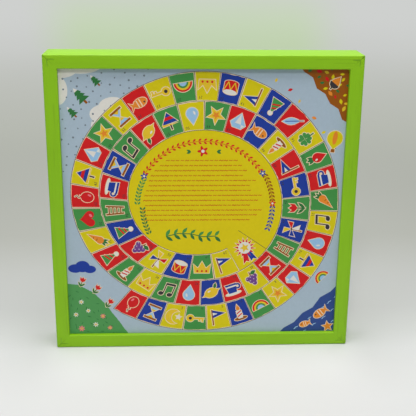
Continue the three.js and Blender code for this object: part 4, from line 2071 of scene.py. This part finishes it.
@dataclass
class Pawns:
    """Four colours of turned pawns, kept inside the box."""

    lathe: LatheTool
    sides: int = 40
    waist_steps: int = 12
    foot_height: float = 2.6
    foot_round: float = 0.8
    neck: float = 2.2
    head: float = 4.3
    colours: dict[str, Colour] = field(
        default_factory=lambda: {
            "red": (196, 40, 45),
            "yellow": (212, 190, 22),
            "blue": (36, 62, 146),
            "green": (58, 142, 84),
        }
    )

    def profile(self, radius: float, height: float) -> Outline:
        """Half the section of a pawn, from the foot's middle to the top of the head.

        Args:
            radius: The foot's radius.
            height: The whole height.

        Returns:
            Points outwards and up.
        """
        ball = height - self.head
        under = -math.degrees(math.acos(self.neck / self.head))
        neck_height = ball + self.head * math.sin(math.radians(under))
        bend = self.foot_height + (neck_height - self.foot_height) / 3
        side = [(0.0, 0.0), *arc(radius - self.foot_round, self.foot_round, self.foot_round, -90, 0, 5)]
        side += arc(radius - self.foot_round, self.foot_height - self.foot_round, self.foot_round, 0, 70, 5)
        start = side[-1]
        for s in spread(0, 1, self.waist_steps)[1:]:
            x = (1 - s) ** 2 * start[0] + 2 * s * (1 - s) * self.neck + s * s * self.neck
            y = (1 - s) ** 2 * start[1] + 2 * s * (1 - s) * bend + s * s * neck_height
            side.append((x, y))
        return side + arc(0, ball, self.head, under, 90, 16)[1:]

    def build(self) -> None:
        """Makes the four pawns of each colour where their solids stand."""
        for colour, shade in self.colours.items():
            nodes = [f"pawn_{colour}_{i}" for i in range(1, 5)]
            boxes = [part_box(node) for node in nodes]
            feet = [((low.x + high.x) / 2, (low.y + high.y) / 2, low.z) for low, high in boxes]
            low, high = boxes[0]
            radius, height = (high.x - low.x) / 2 / MM, (high.z - low.z) / MM
            ring = radius / 2
            profile = path_mesh([((x - ring) * MM, -y * MM) for x, y in self.profile(radius, height)])
            values = {"Profile": profile, "Ring": ring * MM, "Sides": self.sides}
            finish = TurnedGloss(f"{colour}_gloss", shade)
            mesh = self.lathe.run(mesh_of("feet", feet, []), finish, values)
            turned_out(mesh)
            smoothed(mesh)
            add_piece(object_of(f"pawns_{colour}", mesh), "frame", nodes)


@dataclass
class Dice:
    """Two beech dice with drilled and painted pips."""

    balls: BallTool
    edge_round: float = 2.0
    pip: float = 1.2
    pip_depth: float = 0.5
    pip_pitch: float = 3.6
    steps: int = 4

    def pip_places(self, value: int) -> Outline:
        """Places of a face's pips.

        Args:
            value: How many pips it has.

        Returns:
            The places, in steps of the pips' pitch.
        """
        places = [(0.0, 0.0)] if value % 2 else []
        places += [(-1.0, -1.0), (1.0, 1.0)] if value > 1 else []
        places += [(-1.0, 1.0), (1.0, -1.0)] if value > 3 else []
        return places + ([(-1.0, 0.0), (1.0, 0.0)] if value > 5 else [])

    def build(self) -> None:
        """Makes both dice where their solids lie."""
        faces = {1: (0, 0, 1), 6: (0, 0, -1), 2: (1, 0, 0), 5: (-1, 0, 0), 3: (0, 1, 0), 4: (0, -1, 0)}
        ball = (self.pip**2 + self.pip_depth**2) / (2 * self.pip_depth)
        for node in ("die_1", "die_2"):
            low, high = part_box(node)
            side = high.x - low.x
            tips = []
            for value, facing in faces.items():
                turn = Vector((0, 0, 1)).rotation_difference(Vector(facing))
                for across, along in self.pip_places(value):
                    rise = side / MM / 2 + ball - self.pip_depth
                    tip = Vector((across * self.pip_pitch, along * self.pip_pitch, rise))
                    tips.append((low + high) / 2 + turn @ tip * MM)
            die = object_of(node + "_beech", self.blank(side, (low + high) / 2))
            die.data.materials.append(BEECH.material())
            work(die, self.balls.run(mesh_of("tips", tips, []), PIPS, {"Radius": ball * MM}), Cut.TAKE_OFF)
            smoothed(die.data)
            add_piece(die, "frame", [node])

    def blank(self, side: float, middle: Vector) -> bpy.types.Mesh:
        """A cube with rounded edges.

        Args:
            side: Its side.
            middle: Its middle.

        Returns:
            The mesh.
        """
        shape = bmesh.new()
        bmesh.ops.create_cube(shape, size=side, matrix=Matrix.Translation(middle))
        shaping = {"segments": self.steps, "profile": 0.5, "affect": "EDGES"}
        bmesh.ops.bevel(shape, geom=shape.edges[:], offset=self.edge_round * MM, **shaping)
        mesh = bpy.data.meshes.new("blank")
        shape.to_mesh(mesh)
        shape.free()
        return mesh


@dataclass
class CarriedSolids:
    """The solids whose shape stays: the two plywood boards and the nails."""

    finishes: dict[str, Finish] = field(
        default_factory=lambda: {
            "race_board": BIRCH,
            "ludo_board": BIRCH,
            **{f"v_nail_{row}_{side}": NAIL_STEEL for row in ("top", "bottom") for side in ("left", "right")},
        }
    )

    def dress(self) -> None:
        """Gives each solid its finish."""
        for node, finish in self.finishes.items():
            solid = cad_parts[node]
            for slot in solid.material_slots:
                slot.link = "OBJECT"
                slot.material = finish.material()
            LOG.info("%s: dressed as %s", node, finish.name)


@dataclass
class Studio:
    """Camera, lights, floor and world."""

    image_width: float = 416.0
    focal_pixels: float = 823.2
    camera_place: Place = (-0.03129, -0.75818, 0.39133)
    camera_turn: Place = (71.663, -0.546, -2.556)
    floor_radius: float = 9.0
    world_level: float = 0.22
    top_power: float = 28.5
    key_power: float = 15.2
    back_power: float = 6.0

    def build(self) -> None:
        """Sets up the studio."""
        self.set_camera()
        self.set_floor()
        self.set_world()
        self.add_light("top_light", (0.0, -0.15, 1.6), (0.0, -0.15, 0.0), (1.2, 1.2), self.top_power)
        self.add_light("key_light", (-0.2, -1.5, 1.75), (0.0, 0.0, 0.15), (0.35, 0.35), self.key_power)
        self.add_light("back_light", (0.0, 1.5, 0.16), (0.0, 0.0, 0.145), (2.4, 0.24), self.back_power)
        bpy.context.scene.view_settings.view_transform = "Standard"

    def set_camera(self) -> None:
        """Places the camera at the photograph's viewpoint."""
        data = bpy.data.cameras.new("view")
        data.sensor_width = 36.0
        data.lens = data.sensor_width * self.focal_pixels / self.image_width
        data.clip_start = 0.05
        camera = bpy.data.objects.new("view", data)
        camera.location = self.camera_place
        camera.rotation_euler = Euler([math.radians(a) for a in self.camera_turn])
        bpy.context.scene.collection.objects.link(camera)
        bpy.context.scene.camera = camera

    def set_floor(self) -> None:
        """Lays a wide pale floor."""
        rim = oval(0, 0, self.floor_radius, steps=64)
        floor = object_of("floor", mesh_of("floor", [(x, y, 0.0) for x, y in rim], [range(len(rim))]))
        floor.data.materials.append(StudioPaper("studio_paper").material())

    def set_world(self) -> None:
        """An even pale surround, which shows as the backdrop's colour."""
        world = bpy.data.worlds.new("surround")
        world.use_nodes = True
        world.node_tree.nodes.clear()
        graph = Graph(world.node_tree)
        seen = graph.shown()
        colour = graph.mix(seen, (1.0, 1.0, 1.0, 1.0), linear(StudioPaper("studio_paper").tones[-1][1]))
        level = self.world_level + (1 - self.world_level) * seen
        surround = graph.add("ShaderNodeBackground", None, {"Color": colour, "Strength": level})
        graph.add("ShaderNodeOutputWorld", None, {"Surface": surround})
        bpy.context.scene.world = world

    def add_light(self, name: str, place: Place, target: Place, size: Span, power: float) -> None:
        """Adds a soft light.

        Args:
            name: The light's name.
            place: Where it hangs.
            target: What it points at.
            size: Its width and height in metres.
            power: Its power in watts.
        """
        data = bpy.data.lights.new(name, "AREA")
        data.shape = "RECTANGLE"
        data.size, data.size_y = size
        data.energy = power
        light = bpy.data.objects.new(name, data)
        light.location = place
        light.visible_camera = False
        light.rotation_euler = (Vector(target) - Vector(place)).to_track_quat("-Z", "Y").to_euler()
        bpy.context.scene.collection.objects.link(light)


def main() -> None:
    """Builds the studio and every piece in order."""
    logging.basicConfig(level=logging.INFO, format="%(message)s")
    Studio().build()
    BoxFrame().build()
    CarriedSolids().dress()
    RacePrint(RowTool(), ScatterTool()).build()
    LudoPrint().build()
    Pawns(LatheTool()).build()
    Dice(BallTool()).build()


if __name__ == "__main__":
    main()
